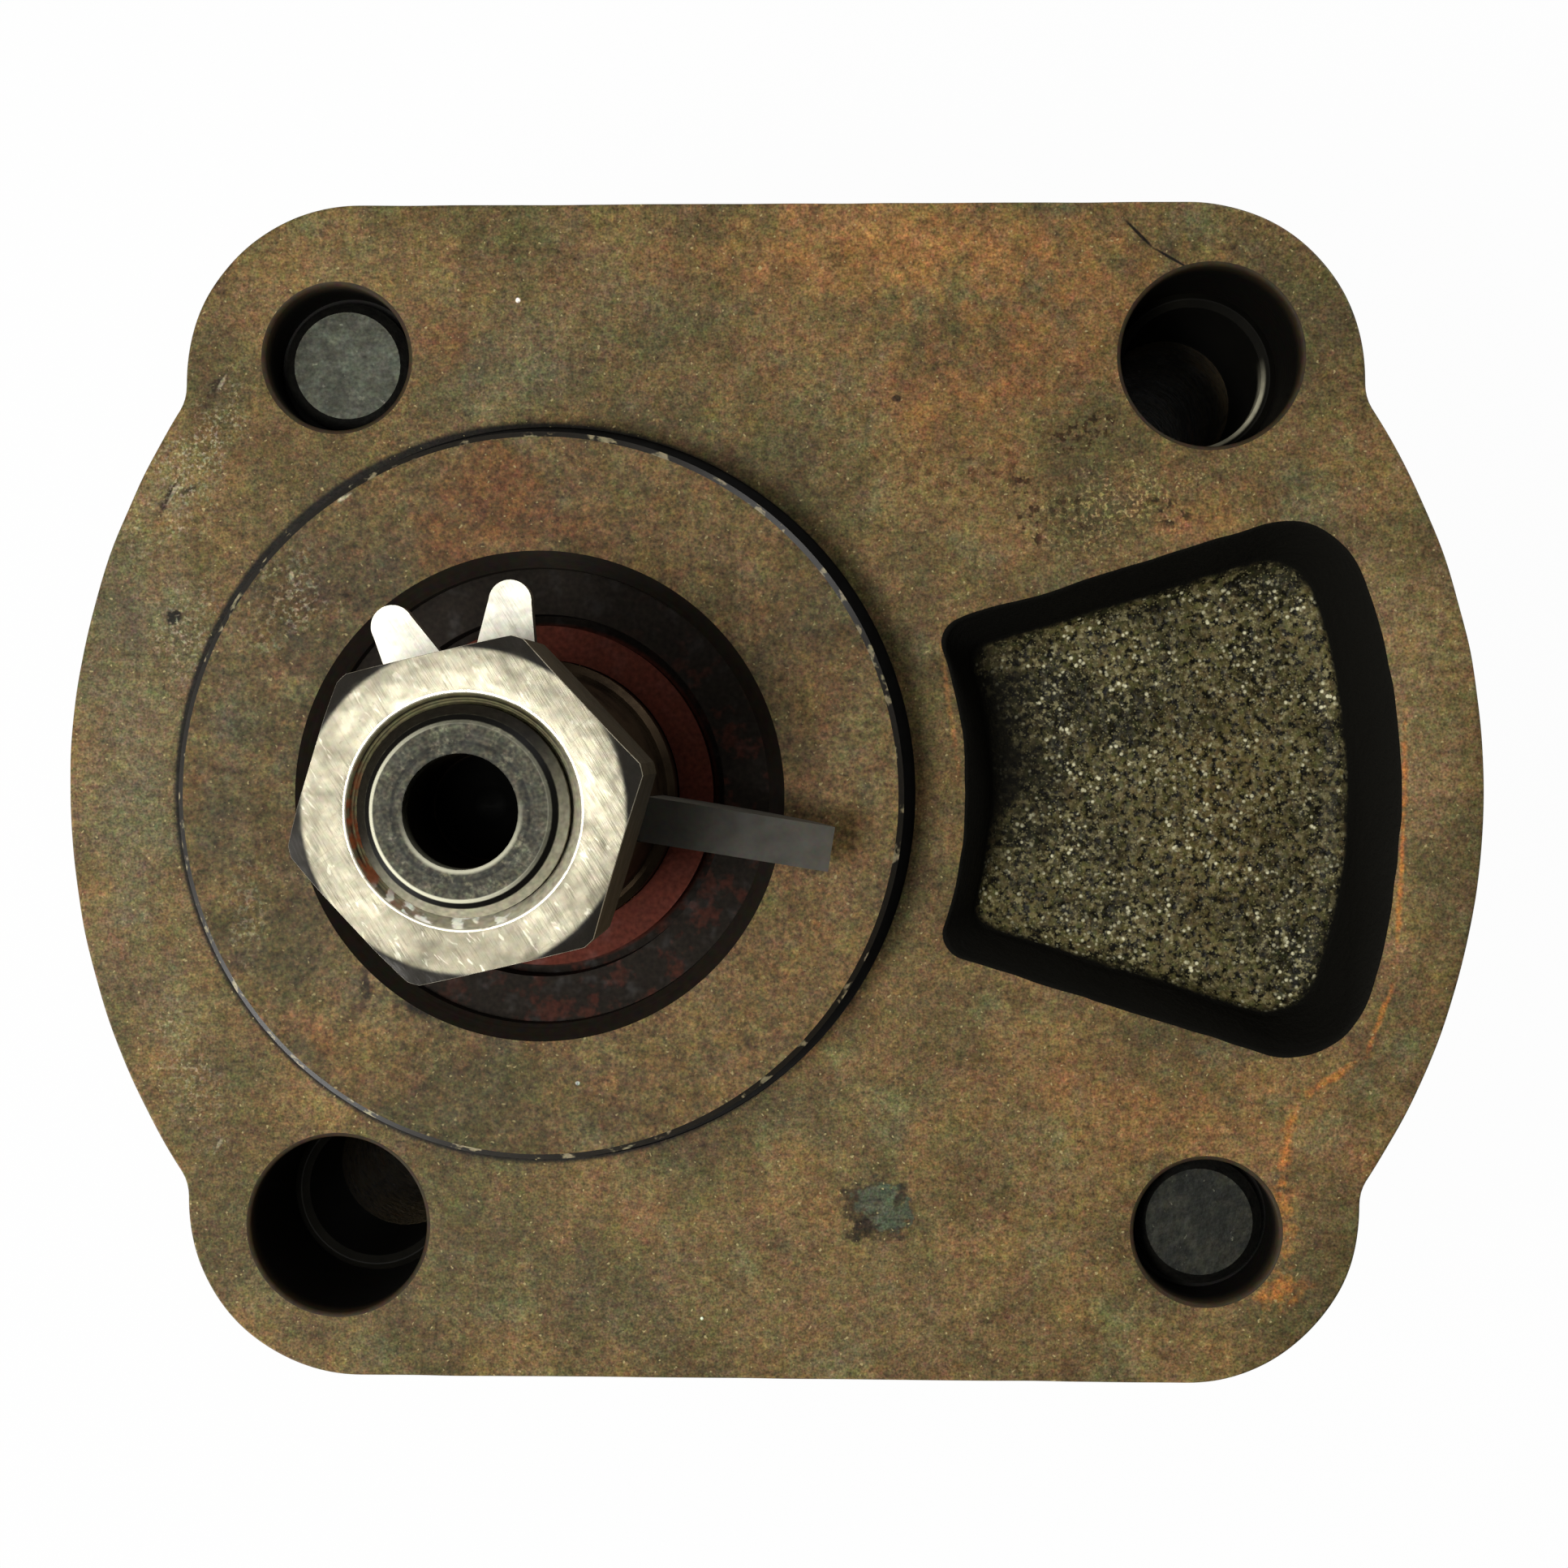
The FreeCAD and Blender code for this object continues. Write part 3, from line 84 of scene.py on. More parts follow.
class Step(Enum):
    """Steps of arithmetic on two values."""

    TIMES = "MULTIPLY"
    PLUS = "ADD"
    MINUS = "SUBTRACT"
    LARGER = "MAXIMUM"
    UNSIGNED = "ABSOLUTE"


class CoverPart(IntEnum):
    """Finishes of the front casting, in the order of its material slots."""

    FACE = 0
    SKIN = 1
    POCKET = 2
    PILOT = 3
    GROOVE = 4
    HOLE = 5
    RECESS = 6
    PILOT_EDGE = 7
    PILOT_SIDE = 8


class NutPart(IntEnum):
    """Finishes of the nut, in the order of its material slots."""

    FACE = 0
    EDGE = 1
    SINK = 2
    FLANK = 3


class PortSide(IntEnum):
    """Side of the body that a port opens to, as the sign of its Y."""

    INLET = -1
    OUTLET = 1


def srgb(red: int, green: int, blue: int) -> Colour:
    """Turn a colour written as it looks on a screen into linear light.

    Args:
        red: Red part, 0 to 255.
        green: Green part, 0 to 255.
        blue: Blue part, 0 to 255.

    Returns:
        The linear colour with full alpha.
    """
    parts = [part / 255 for part in (red, green, blue)]
    linear = [p / 12.92 if p <= 0.04045 else ((p + 0.055) / 1.055) ** 2.4 for p in parts]
    return (*linear, 1.0)


class Shader:
    """Node graph of one material, written as nested calls.

    A value may be a number, a colour or the output of another node.
    """

    def __init__(self, name: str) -> None:
        """Start a material.

        Args:
            name: Name of the material.
        """
        self.material = bpy.data.materials.new(name)
        self.material.use_nodes = True
        self.tree = self.material.node_tree
        self.surface = self.tree.nodes["Principled BSDF"]
        self.place = self.add("ShaderNodeTexCoord").outputs["Object"]
        self.made: dict[tuple, bpy.types.Node] = {}

    def feed(self, socket: Socket, value: Value | None) -> None:
        """Set a socket to a plain value, or link it to another node's output.

        Args:
            socket: Input to set.
            value: Number, colour or output; None leaves the input as it is.
        """
        if isinstance(value, bpy.types.NodeSocket):
            self.tree.links.new(value, socket)
        elif value is not None:
            socket.default_value = value

    def add(self, kind: str, inputs: dict | None = None, **settings: object) -> bpy.types.Node:
        """Add a node.

        Args:
            kind: Blender's name of the node type.
            inputs: Value or output for each named or numbered socket.
            **settings: Properties of the node itself.

        Returns:
            The node.
        """
        node = self.tree.nodes.new(kind)
        for key, value in settings.items():
            setattr(node, key, value)
        for key, value in (inputs or {}).items():
            self.feed(node.inputs[key], value)
        return node

    def noise(
        self, size: float, detail: float = 2.0, rough: float = 0.5, warp: float = 0.0,
        place: Socket | None = None,
    ) -> Socket:
        """Cloudy noise, 0 to 1, whose blobs are about size millimetres across.

        Args:
            size: Width of a blob in millimetres.
            detail: Number of finer layers.
            rough: Weight of the finer layers.
            warp: Distortion of the pattern.
            place: Coordinates, or the object's own where left out.

        Returns:
            The noise as a grey value.
        """
        return self._noise(size, detail, rough, warp, place).outputs[0]

    def tints(self, size: float, detail: float = 1.0) -> Socket:
        """Noise of random hues, with blobs about size millimetres across."""
        return self._noise(size, detail, 0.5, 0.0, None).outputs["Color"]

    def _noise(
        self, size: float, detail: float, rough: float, warp: float, place: Socket | None
    ) -> bpy.types.Node:
        """Noise node behind noise and tints, made once for each set of numbers.

        Args:
            size: Width of a blob in millimetres.
            detail: Number of finer layers.
            rough: Weight of the finer layers.
            warp: Distortion of the pattern.
            place: Coordinates, or the object's own where left out.

        Returns:
            The node.
        """
        key = (size, detail, rough, warp)
        if place is None and key in self.made:
            return self.made[key]
        inputs = {
            "Vector": place or self.place, "Scale": 1 / (size * MM), "Detail": detail,
            "Roughness": rough, "Distortion": warp,
        }
        node = self.add("ShaderNodeTexNoise", inputs)
        if place is None:
            self.made[key] = node
        return node

    def cells(self, size: float) -> Socket:
        """Distance from the middle of each cell, where cells are about size millimetres across."""
        inputs = {"Vector": self.place, "Scale": 1 / (size * MM)}
        return self.add("ShaderNodeTexVoronoi", inputs).outputs["Distance"]

    def maths(self, step: Step, first: Value, second: Value = 0.0) -> Socket:
        """One step of arithmetic on two values."""
        return self.add("ShaderNodeMath", {0: first, 1: second}, operation=step.value).outputs[0]

    def times(self, first: Value, second: Value) -> Socket:
        """Product of two values."""
        return self.maths(Step.TIMES, first, second)

    def rise(self, value: Socket, low: float, high: float) -> Socket:
        """Smooth step from 0 to 1.

        Args:
            value: Value that rises.
            low: Value at which the step is 0; it may be the larger.
            high: Value at which the step is 1.

        Returns:
            The step.
        """
        inputs = {"Value": value, "From Min": low, "From Max": high}
        node = self.add("ShaderNodeMapRange", inputs, interpolation_type="SMOOTHSTEP")
        return node.outputs["Result"]

    def scale(self, value: Socket, low: float, high: float) -> Socket:
        """Spread a value from 0 to 1 over the range from low to high."""
        inputs = {"Value": value, "To Min": low, "To Max": high}
        return self.add("ShaderNodeMapRange", inputs).outputs["Result"]

    def blend(
        self, share: Value, first: Value, second: Value, mixing: Mixing = Mixing.PLAIN
    ) -> Socket:
        """Mix two colours.

        Args:
            share: Share of the second colour, 0 to 1.
            first: Colour underneath.
            second: Colour laid over it.
            mixing: Way that they mix.

        Returns:
            The mixed colour.
        """
        node = self.add("ShaderNodeMix", data_type="RGBA", blend_type=mixing.value)
        self.feed(node.inputs[0], share)
        self.feed(node.inputs[6], first)
        self.feed(node.inputs[7], second)
        return node.outputs[2]

    def cover(self, colour: Value, mask: Socket, share: Value, tone: Value) -> Socket:
        """Lay a tone over a colour.

        Args:
            colour: Colour underneath.
            mask: Where the tone lies, 0 to 1.
            share: Share of the tone where the mask is 1.
            tone: Colour laid over it.

        Returns:
            The covered colour.
        """
        return self.blend(self.times(mask, share), colour, tone)

    def speckle(self, colour: Socket, size: float, hue: float, tone: float) -> Socket:
        """Colour with fine specks of other hues and tones.

        Args:
            colour: Colour underneath.
            size: Width of a speck in millimetres.
            hue: How far each of red, green and blue strays from 1.
            tone: How far the brightness strays from 1.

        Returns:
            The speckled colour.
        """
        inputs = {0: self.tints(size), 1: (hue,) * 3, 2: (1 - 0.5 * hue,) * 3}
        tint = self.add("ShaderNodeVectorMath", inputs, operation="MULTIPLY_ADD").outputs[0]
        grey = self.scale(self.noise(0.7 * size, 1.0), 1 - 0.5 * tone, 1 + 0.5 * tone)
        colour = self.blend(1.0, colour, tint, Mixing.TIMES)
        return self.blend(1.0, colour, grey, Mixing.TIMES)

    def parts(self, vector: Socket | None = None) -> list[Socket]:
        """X, Y and Z of a vector, or of the place on the piece."""
        node = self.add("ShaderNodeSeparateXYZ", {0: vector or self.place})
        return list(node.outputs)

    def height(self) -> Socket:
        """Height of the place on the piece, in metres."""
        return self.parts()[2]

    def facing_up(self) -> Socket:
        """Z of the surface's normal: 1 where it faces up."""
        return self.parts(self.add("ShaderNodeNewGeometry").outputs["Normal"])[2]

    def spread(self, centre: Sequence[float], reach: Sequence[float], turn: float = 0.0) -> Socket:
        """Coordinates about a centre, turned in the XY plane and counted in reaches.

        Args:
            centre: Centre in millimetres.
            reach: Length along each turned axis that counts as 1, in millimetres.
            turn: Turn of the axes in degrees.

        Returns:
            The new coordinates.
        """
        inputs = {
            "Vector": self.place, "Location": [c * MM for c in centre],
            "Rotation": (0.0, 0.0, math.radians(turn)), "Scale": [r * MM for r in reach],
        }
        return self.add("ShaderNodeMapping", inputs, vector_type="TEXTURE").outputs[0]

    def stretched(self, times: Sequence[float], turn: float = 0.0) -> Socket:
        """Coordinates in metres on which a pattern comes out longer.

        Args:
            times: How many times longer it is along each turned axis.
            turn: Turn of the axes in the XY plane, in degrees.

        Returns:
            The new coordinates.
        """
        return self.spread((0.0, 0.0, 0.0), [t / MM for t in times], turn)

    def step_along(self, degrees: float, low: float, high: float) -> Socket:
        """Smooth step along a direction in the XY plane.

        Args:
            degrees: Direction, counted from X towards Y.
            low: Distance from the origin in millimetres where it is 0.
            high: Distance where it is 1.

        Returns:
            The step.
        """
        turn = math.radians(degrees)
        ray = (math.cos(turn), math.sin(turn), 0.0)
        inputs = {0: self.place, 1: ray}
        reach = self.add("ShaderNodeVectorMath", inputs, operation="DOT_PRODUCT").outputs["Value"]
        return self.rise(reach, low * MM, high * MM)

    def length(self, vector: Socket) -> Socket:
        """Length of a vector."""
        return self.add("ShaderNodeVectorMath", {0: vector}, operation="LENGTH").outputs["Value"]

    def from_axis(self, x: float = 0.0, y: float = 0.0) -> Socket:
        """Distance in metres from an upright axis through x and y, given in millimetres."""
        away = self.length(self.spread((x, y, 0.0), (1.0, 1.0, FAR)))
        return self.times(away, MM)

    def rings(self, size: float) -> Socket:
        """Noise that runs in rings about the Z axis, about size millimetres wide."""
        away = self.add("ShaderNodeCombineXYZ", {0: self.from_axis()}).outputs[0]
        return self.noise(size, 2.0, place=away)

    def bump(self, height: Socket, depth: float, under: Socket | None = None) -> Socket:
        """Normal that a height map gives.

        Args:
            height: Height from 0 to 1.
            depth: Height in millimetres that 1 stands for.
            under: Normal that this one is laid on.

        Returns:
            The new normal.
        """
        node = self.add("ShaderNodeBump", {"Height": height, "Distance": depth * MM, "Strength": 1.0})
        if under is not None:
            self.feed(node.inputs["Normal"], under)
        return node.outputs["Normal"]

    def finish(
        self, colour: Value, roughness: Value, metallic: Value = 0.0, normal: Socket | None = None,
        specular: float = 0.5,
    ) -> bpy.types.Material:
        """Connect the results to the surface.

        Args:
            colour: Base colour.
            roughness: Roughness.
            metallic: Metallic share.
            normal: Normal with its bumps.
            specular: Strength of a plain surface's gloss.

        Returns:
            The finished material.
        """
        self.feed(self.surface.inputs["Base Color"], colour)
        self.feed(self.surface.inputs["Roughness"], roughness)
        self.feed(self.surface.inputs["Metallic"], metallic)
        self.feed(self.surface.inputs["Specular IOR Level"], specular)
        self.feed(self.surface.inputs["Normal"], normal)
        return self.material


@dataclass(frozen=True)
class Mark:
    """A stain, patch, pit or painted glint on a face: an ellipse with a ragged rim.

    x and y are its centre, width and height its half axes, and turn the angle of the first.
    Where specks is given, it is broken up into specks of about that width.
    """

    x: float
    y: float
    width: float
    height: float
    colour: Colour
    strength: float = 1.0
    turn: float = 0.0
    ragged: float = 0.5
    grain: float = 2.0
    soft: float = 0.5
    specks: float = 0.0

    def mask(self, shader: Shader) -> Socket:
        """Share of the mark at each place.

        Args:
            shader: Shader that the mark goes into.

        Returns:
            The share, from 0 to the mark's strength.
        """
        reach = (self.width, self.height, FAR)
        near = shader.length(shader.spread((self.x, self.y, 0.0), reach, self.turn))
        torn = shader.times(shader.noise(self.grain, 3.0), 2 * self.ragged)
        torn = shader.maths(Step.PLUS, near, torn)
        share = shader.rise(torn, 1.0 + self.ragged, 1.0 + self.ragged - self.soft)
        if self.specks:
            share = shader.times(share, shader.rise(shader.noise(self.specks, 2.0), 0.52, 0.6))
        return shader.times(share, self.strength)


# Tones that the castings share
UMBER = srgb(80, 62, 38)
GREEN_GREY = srgb(108, 105, 78)
RUST = srgb(150, 102, 58)
BRIGHT_RUST = srgb(178, 110, 50)
RED_BROWN = srgb(112, 78, 46)
# Black of the pocket's walls and of the painted shadow on its floor.
WALL_AND_SHADOW_BLACK = srgb(15, 14, 10)
CHIP_GREY = srgb(74, 78, 60)
SOOT = srgb(44, 34, 22)
# Bare metal of scuffs, and also the colour of painted glints.
BARE_AND_GLINT = srgb(176, 166, 134)

FLANGE_MARKS = (
    Mark(-30.5, 4.0, 9.0, 30.0, srgb(100, 95, 71), 0.75, ragged=0.8, grain=6.0, soft=1.2),
    Mark(4.0, 37.0, 14.0, 8.0, GREEN_GREY, 0.3, ragged=0.9, grain=6.0, soft=1.2),
    Mark(-3.0, 30.0, 7.0, 5.0, GREEN_GREY, 0.4, ragged=0.8, grain=6.0, soft=1.0),
    Mark(26.0, 39.6, 22.0, 5.6, srgb(160, 116, 66), 0.9, ragged=0.8, grain=2.0, soft=1.2),
    Mark(35.0, 33.0, 13.0, 8.0, RUST, 0.6, turn=20.0, ragged=0.9, grain=2.0, soft=1.3),
    Mark(27.0, 28.0, 9.0, 6.0, RUST, 0.4, turn=-30.0, ragged=0.9, grain=2.0, soft=1.2),
    Mark(16.0, -37.0, 36.0, 6.5, srgb(84, 76, 52), 0.5, ragged=0.8, grain=6.0, soft=1.2),
    Mark(-20.0, -34.0, 12.0, 9.0, srgb(84, 76, 52), 0.4, ragged=0.8, grain=6.0, soft=1.2),
    Mark(8.0, 38.0, 22.0, 4.5, RED_BROWN, 0.4, ragged=0.9, grain=6.0, soft=1.2),
    Mark(-8.0, 33.5, 3.0, 4.5, RED_BROWN, 0.6, ragged=0.8, grain=2.0, soft=1.0),
    Mark(46.0, 20.0, 8.0, 2.5, RUST, 0.45, turn=18.0, ragged=1.0, grain=2.0, soft=1.3),
    Mark(44.0, -23.0, 18.0, 6.0, RUST, 0.4, turn=-12.0, ragged=0.9, grain=2.0, soft=1.3),
    Mark(62.0, 6.0, 7.0, 24.0, srgb(142, 120, 80), 0.55, ragged=0.8, grain=6.0, soft=1.2),
    Mark(23.7, -30.3, 2.9, 2.4, SOOT, 0.75, turn=-25.0, ragged=0.7, grain=0.8, soft=0.25),
    Mark(24.1, -30.1, 2.4, 1.9, CHIP_GREY, 1.0, turn=-25.0, ragged=0.7, grain=0.8, soft=0.25),
    Mark(22.6, -31.6, 1.5, 0.9, SOOT, 0.9, turn=40.0, ragged=1.2, grain=0.8, soft=0.5),
    Mark(25.4, -29.4, 0.5, 1.3, SOOT, 0.8, turn=-20.0, ragged=1.0, grain=0.8, soft=0.6),
    Mark(-27.9, 12.9, 0.75, 0.7, srgb(24, 21, 16), 0.95, ragged=0.4, grain=0.8, soft=0.4),
    Mark(-24.8, 29.6, 0.5, 1.8, SOOT, 0.9, turn=-30.0, ragged=1.0, grain=0.8, soft=0.7),
    Mark(-24.3, 30.0, 0.18, 0.9, BARE_AND_GLINT, 0.5, turn=-30.0, ragged=0.9, grain=0.8, soft=0.7),
    Mark(-28.4, 21.4, 0.45, 2.4, SOOT, 0.9, turn=-28.0, ragged=1.1, grain=0.8, soft=0.7),
    Mark(-28.0, 21.8, 0.18, 1.2, BARE_AND_GLINT, 0.55, turn=-28.0, ragged=0.9, grain=0.8, soft=0.7),
    Mark(-27.0, 22.0, 1.3, 0.4, SOOT, 0.8, turn=30.0, ragged=1.1, grain=0.8, soft=0.7),
    Mark(-24.7, -25.9, 0.9, 0.2, BARE_AND_GLINT, 0.4, turn=60.0, ragged=1.1, grain=0.8, soft=0.7),
    Mark(24.9, 28.7, 0.45, 0.3, SOOT, 0.9, ragged=0.4, grain=0.8, soft=0.4),
    Mark(-2.6, 35.9, 0.22, 0.22, srgb(235, 232, 220), 1.0, ragged=0.2, grain=0.8, soft=0.5),
    Mark(10.9, -38.4, 0.15, 0.15, srgb(225, 222, 210), 1.0, ragged=0.2, grain=0.8, soft=0.5),
    # The next four marks are painted glints.
    Mark(-26.5, 24.0, 3.5, 9.0, BARE_AND_GLINT, 0.5, turn=-28.0, ragged=0.9, soft=1.0, specks=0.3),
    Mark(-27.0, 12.0, 3.0, 5.0, BARE_AND_GLINT, 0.45, ragged=0.9, soft=1.0, specks=0.34),
    Mark(-27.0, -20.0, 3.0, 10.0, BARE_AND_GLINT, 0.3, turn=20.0, ragged=0.9, soft=1.2, specks=0.34),
    Mark(40.0, 20.5, 10.0, 4.5, srgb(200, 178, 118), 0.4, turn=15.0, ragged=0.9, soft=1.0, specks=0.3),
    Mark(38.4, 26.2, 3.6, 1.5, srgb(54, 38, 20), 0.9, turn=20.0, ragged=0.4, soft=0.4, specks=0.6),
    Mark(34.4, 20.6, 1.1, 4.4, srgb(54, 38, 20), 0.95, turn=8.0, ragged=0.4, soft=0.4, specks=0.7),
    Mark(37.4, 20.2, 2.6, 2.0, srgb(54, 38, 20), 0.85, ragged=0.4, soft=0.5, specks=0.6),
    Mark(44.6, 20.6, 2.6, 1.3, srgb(48, 36, 20), 0.9, turn=-20.0, ragged=0.6, soft=0.6, specks=0.8),
    Mark(30.0, 23.0, 9.0, 5.0, srgb(62, 44, 24), 0.6, ragged=0.9, soft=1.2, specks=0.7),
    Mark(42.35, 40.55, 2.0, 0.17, srgb(24, 18, 12), 1.0, turn=-45.0, ragged=0.1, grain=2.0, soft=0.6),
    Mark(44.75, 38.75, 2.1, 0.15, srgb(24, 18, 12), 1.0, turn=-30.0, ragged=0.1, grain=2.0, soft=0.6),
)
RUST_TRACK = (
    Mark(61.7, 2.0, 0.35, 5.0, BRIGHT_RUST, 0.7, ragged=0.9, grain=0.8, soft=1.0),
    Mark(61.5, -5.0, 0.3, 8.0, BRIGHT_RUST, 0.8, turn=-2.0, ragged=0.9, grain=0.8, soft=1.0),
    Mark(60.1, -16.0, 0.3, 4.5, BRIGHT_RUST, 0.7, turn=-20.0, ragged=0.9, grain=0.8, soft=1.0),
    Mark(56.5, -20.6, 3.4, 0.45, BRIGHT_RUST, 0.7, turn=33.0, ragged=1.0, grain=0.8, soft=1.0),
    Mark(53.4, -25.5, 0.6, 4.5, BRIGHT_RUST, 0.75, turn=-8.0, ragged=1.1, grain=0.8, soft=1.1),
    Mark(53.2, -30.5, 1.1, 4.0, BRIGHT_RUST, 0.6, turn=4.0, ragged=1.1, grain=0.8, soft=1.2),
    Mark(53.0, -36.0, 2.4, 1.7, BRIGHT_RUST, 0.7, turn=30.0, ragged=1.1, grain=0.8, soft=1.1),
    Mark(28.9, 6.0, 0.3, 7.0, RUST, 0.6, turn=8.0, ragged=0.8, grain=0.8, soft=1.0),
)
PILOT_MARKS = (
    Mark(-2.6, 20.8, 5.6, 6.2, RED_BROWN, 0.95, turn=60.0, ragged=0.7, grain=2.0, soft=0.7),
    Mark(-6.6, 17.4, 3.2, 3.4, RED_BROWN, 0.9, turn=60.0, ragged=0.7, grain=2.0, soft=0.7),
    Mark(1.4, 18.8, 4.0, 2.2, RED_BROWN, 0.7, turn=-10.0, ragged=0.8, grain=2.0, soft=0.8),
    Mark(-14.0, 16.0, 6.0, 6.0, srgb(88, 78, 55), 0.7, turn=-40.0, ragged=0.8, grain=3.0, soft=1.0),
    Mark(3.6, 22.0, 3.6, 2.0, UMBER, 0.6, ragged=0.9, grain=2.0, soft=1.2),
    Mark(-15.6, -16.6, 3.0, 1.3, RUST, 0.5, turn=-50.0, ragged=1.0, grain=2.0, soft=1.1),
    Mark(-8.2, -14.9, 2.8, 0.9, srgb(34, 27, 18), 0.95, turn=-24.0, ragged=1.2, grain=0.8, soft=0.8),
    Mark(-12.2, -13.2, 0.7, 1.6, srgb(40, 32, 20), 0.9, ragged=1.2, grain=0.8, soft=0.8),
    Mark(20.0, 4.0, 5.0, 18.0, srgb(136, 106, 66), 0.6, ragged=0.9, grain=6.0, soft=1.2),
    Mark(-15.0, 14.0, 8.0, 9.0, srgb(78, 64, 42), 0.5, turn=-40.0, ragged=0.9, grain=6.0, soft=1.2),
    Mark(-21.5, 6.0, 3.0, 12.0, srgb(100, 95, 71), 0.5, ragged=0.9, grain=6.0, soft=1.2),
    Mark(-20.7, 14.5, 0.25, 0.5, BARE_AND_GLINT, 0.95, turn=-40.0, ragged=0.5, grain=0.8, soft=0.5),
    Mark(-17.3, 15.3, 0.2, 0.5, BARE_AND_GLINT, 0.9, turn=10.0, ragged=0.5, grain=0.8, soft=0.5),
    Mark(-13.6, 20.8, 0.7, 0.2, BARE_AND_GLINT, 0.9, turn=33.0, ragged=0.6, grain=0.8, soft=0.6),
    # The next two marks are painted glints.
    Mark(-17.5, 13.5, 3.5, 5.0, BARE_AND_GLINT, 0.5, turn=-30.0, ragged=0.9, soft=1.0, specks=0.34),
    Mark(-20.5, -8.0, 2.0, 6.0, BARE_AND_GLINT, 0.3, ragged=0.9, soft=1.0, specks=0.34),
    Mark(2.7, -20.0, 0.2, 0.2, srgb(230, 226, 212), 1.0, ragged=0.2, grain=0.8, soft=0.5),
)


class Finish(Protocol):
    """Look of a surface, known by its name, that can be built as a material."""

    name: str

    def build(self) -> bpy.types.Material:
        """Make the material."""


@dataclass(frozen=True)
class MachinedCasting:
    """Milled face of an iron casting under a stained film of oil and light rust.

    level is its brightness, and ring the X and the radius of a painted shade round the pilot's foot.
    """

    name: str
    marks: tuple[Mark, ...] = ()
    light: Colour = srgb(120, 96, 59)
    dark: Colour = srgb(88, 77, 48)
    level: float = 1.0
    ring: tuple[float, float] | None = None

    def build(self) -> bpy.types.Material:
        """Mottled tones, coloured specks, marks, painted sparkle, a painted shade round the pilot and a
        fine grain.

        Returns:
            The finished material.
        """
        shader = Shader(self.name)
        clouds = shader.rise(shader.noise(14.0, 4.0, 0.62), 0.38, 0.62)
        colour = shader.blend(clouds, self.dark, self.light)
        patches = shader.rise(shader.noise(4.0, 4.0, 0.65, 0.3), 0.5, 0.68)
        colour = shader.cover(colour, patches, 0.5, UMBER)
        green = shader.rise(shader.noise(6.5, 4.0, 0.65), 0.52, 0.68)
        colour = shader.cover(colour, green, 0.45, srgb(110, 108, 74))
        for mark in self.marks:
            colour = shader.blend(mark.mask(shader), colour, mark.colour)
        blots = shader.rise(shader.noise(1.3, 3.0, 0.65), 0.56, 0.74)
        colour = shader.cover(colour, blots, 0.4, srgb(58, 46, 28))
        # Painted shade: the face darkens inside the ring's radius, round the pilot's foot.
        if self.ring:
            away = shader.from_axis(self.ring[0])
            pilot_foot_shade = shader.rise(away, (self.ring[1] + 0.3) * MM, (self.ring[1] - 0.1) * MM)
            colour = shader.blend(pilot_foot_shade, colour, srgb(26, 22, 15))
        colour = shader.speckle(colour, 0.26, 0.55, 2.0)
        colour = shader.speckle(colour, 0.7, 0.4, 1.6)
        colour = shader.speckle(colour, 2.4, 0.3, 0.8)
        # Painted sparkle: fine specks painted bright as glints.
        painted_sparkle = shader.rise(shader.noise(0.38, 1.0), 0.69, 0.77)
        colour = shader.cover(colour, painted_sparkle, 0.6, srgb(190, 174, 122))
        shade = (self.level, self.level, self.level, 1.0)
        colour = shader.blend(1.0, colour, shade, Mixing.TIMES)
        normal = shader.bump(shader.noise(0.3, 2.0, 0.7), 0.05)
        roughness = shader.scale(shader.noise(2.2, 3.0), 0.45, 0.75)
        return shader.finish(colour, roughness, normal=normal, specular=0.14)


@dataclass(frozen=True)
class WornEdgeAndHighlight:
    """Narrow edge, black with oil and painted shade, with bright rubbed spots that are also a painted
    highlight.

    rubbed is the noise level, 0 to 1, above which it is bright.
    """

    name: str
    rubbed: float = 0.55

    def build(self) -> bpy.types.Material:
        """Painted highlight in bright spots on black, with painted shade.

        Returns:
            The finished material.
        """
        shader = Shader(self.name)
        # Painted highlight: bright rubbed spots on an edge painted black as shade.
        rubbed_highlight = shader.rise(shader.noise(1.6, 3.0, 0.6), self.rubbed, self.rubbed + 0.08)
        colour = shader.cover(srgb(26, 22, 15), rubbed_highlight, 0.8, srgb(150, 140, 108))
        colour = shader.speckle(colour, 0.4, 0.3, 1.0)
        return shader.finish(colour, 0.45, specular=0.3)


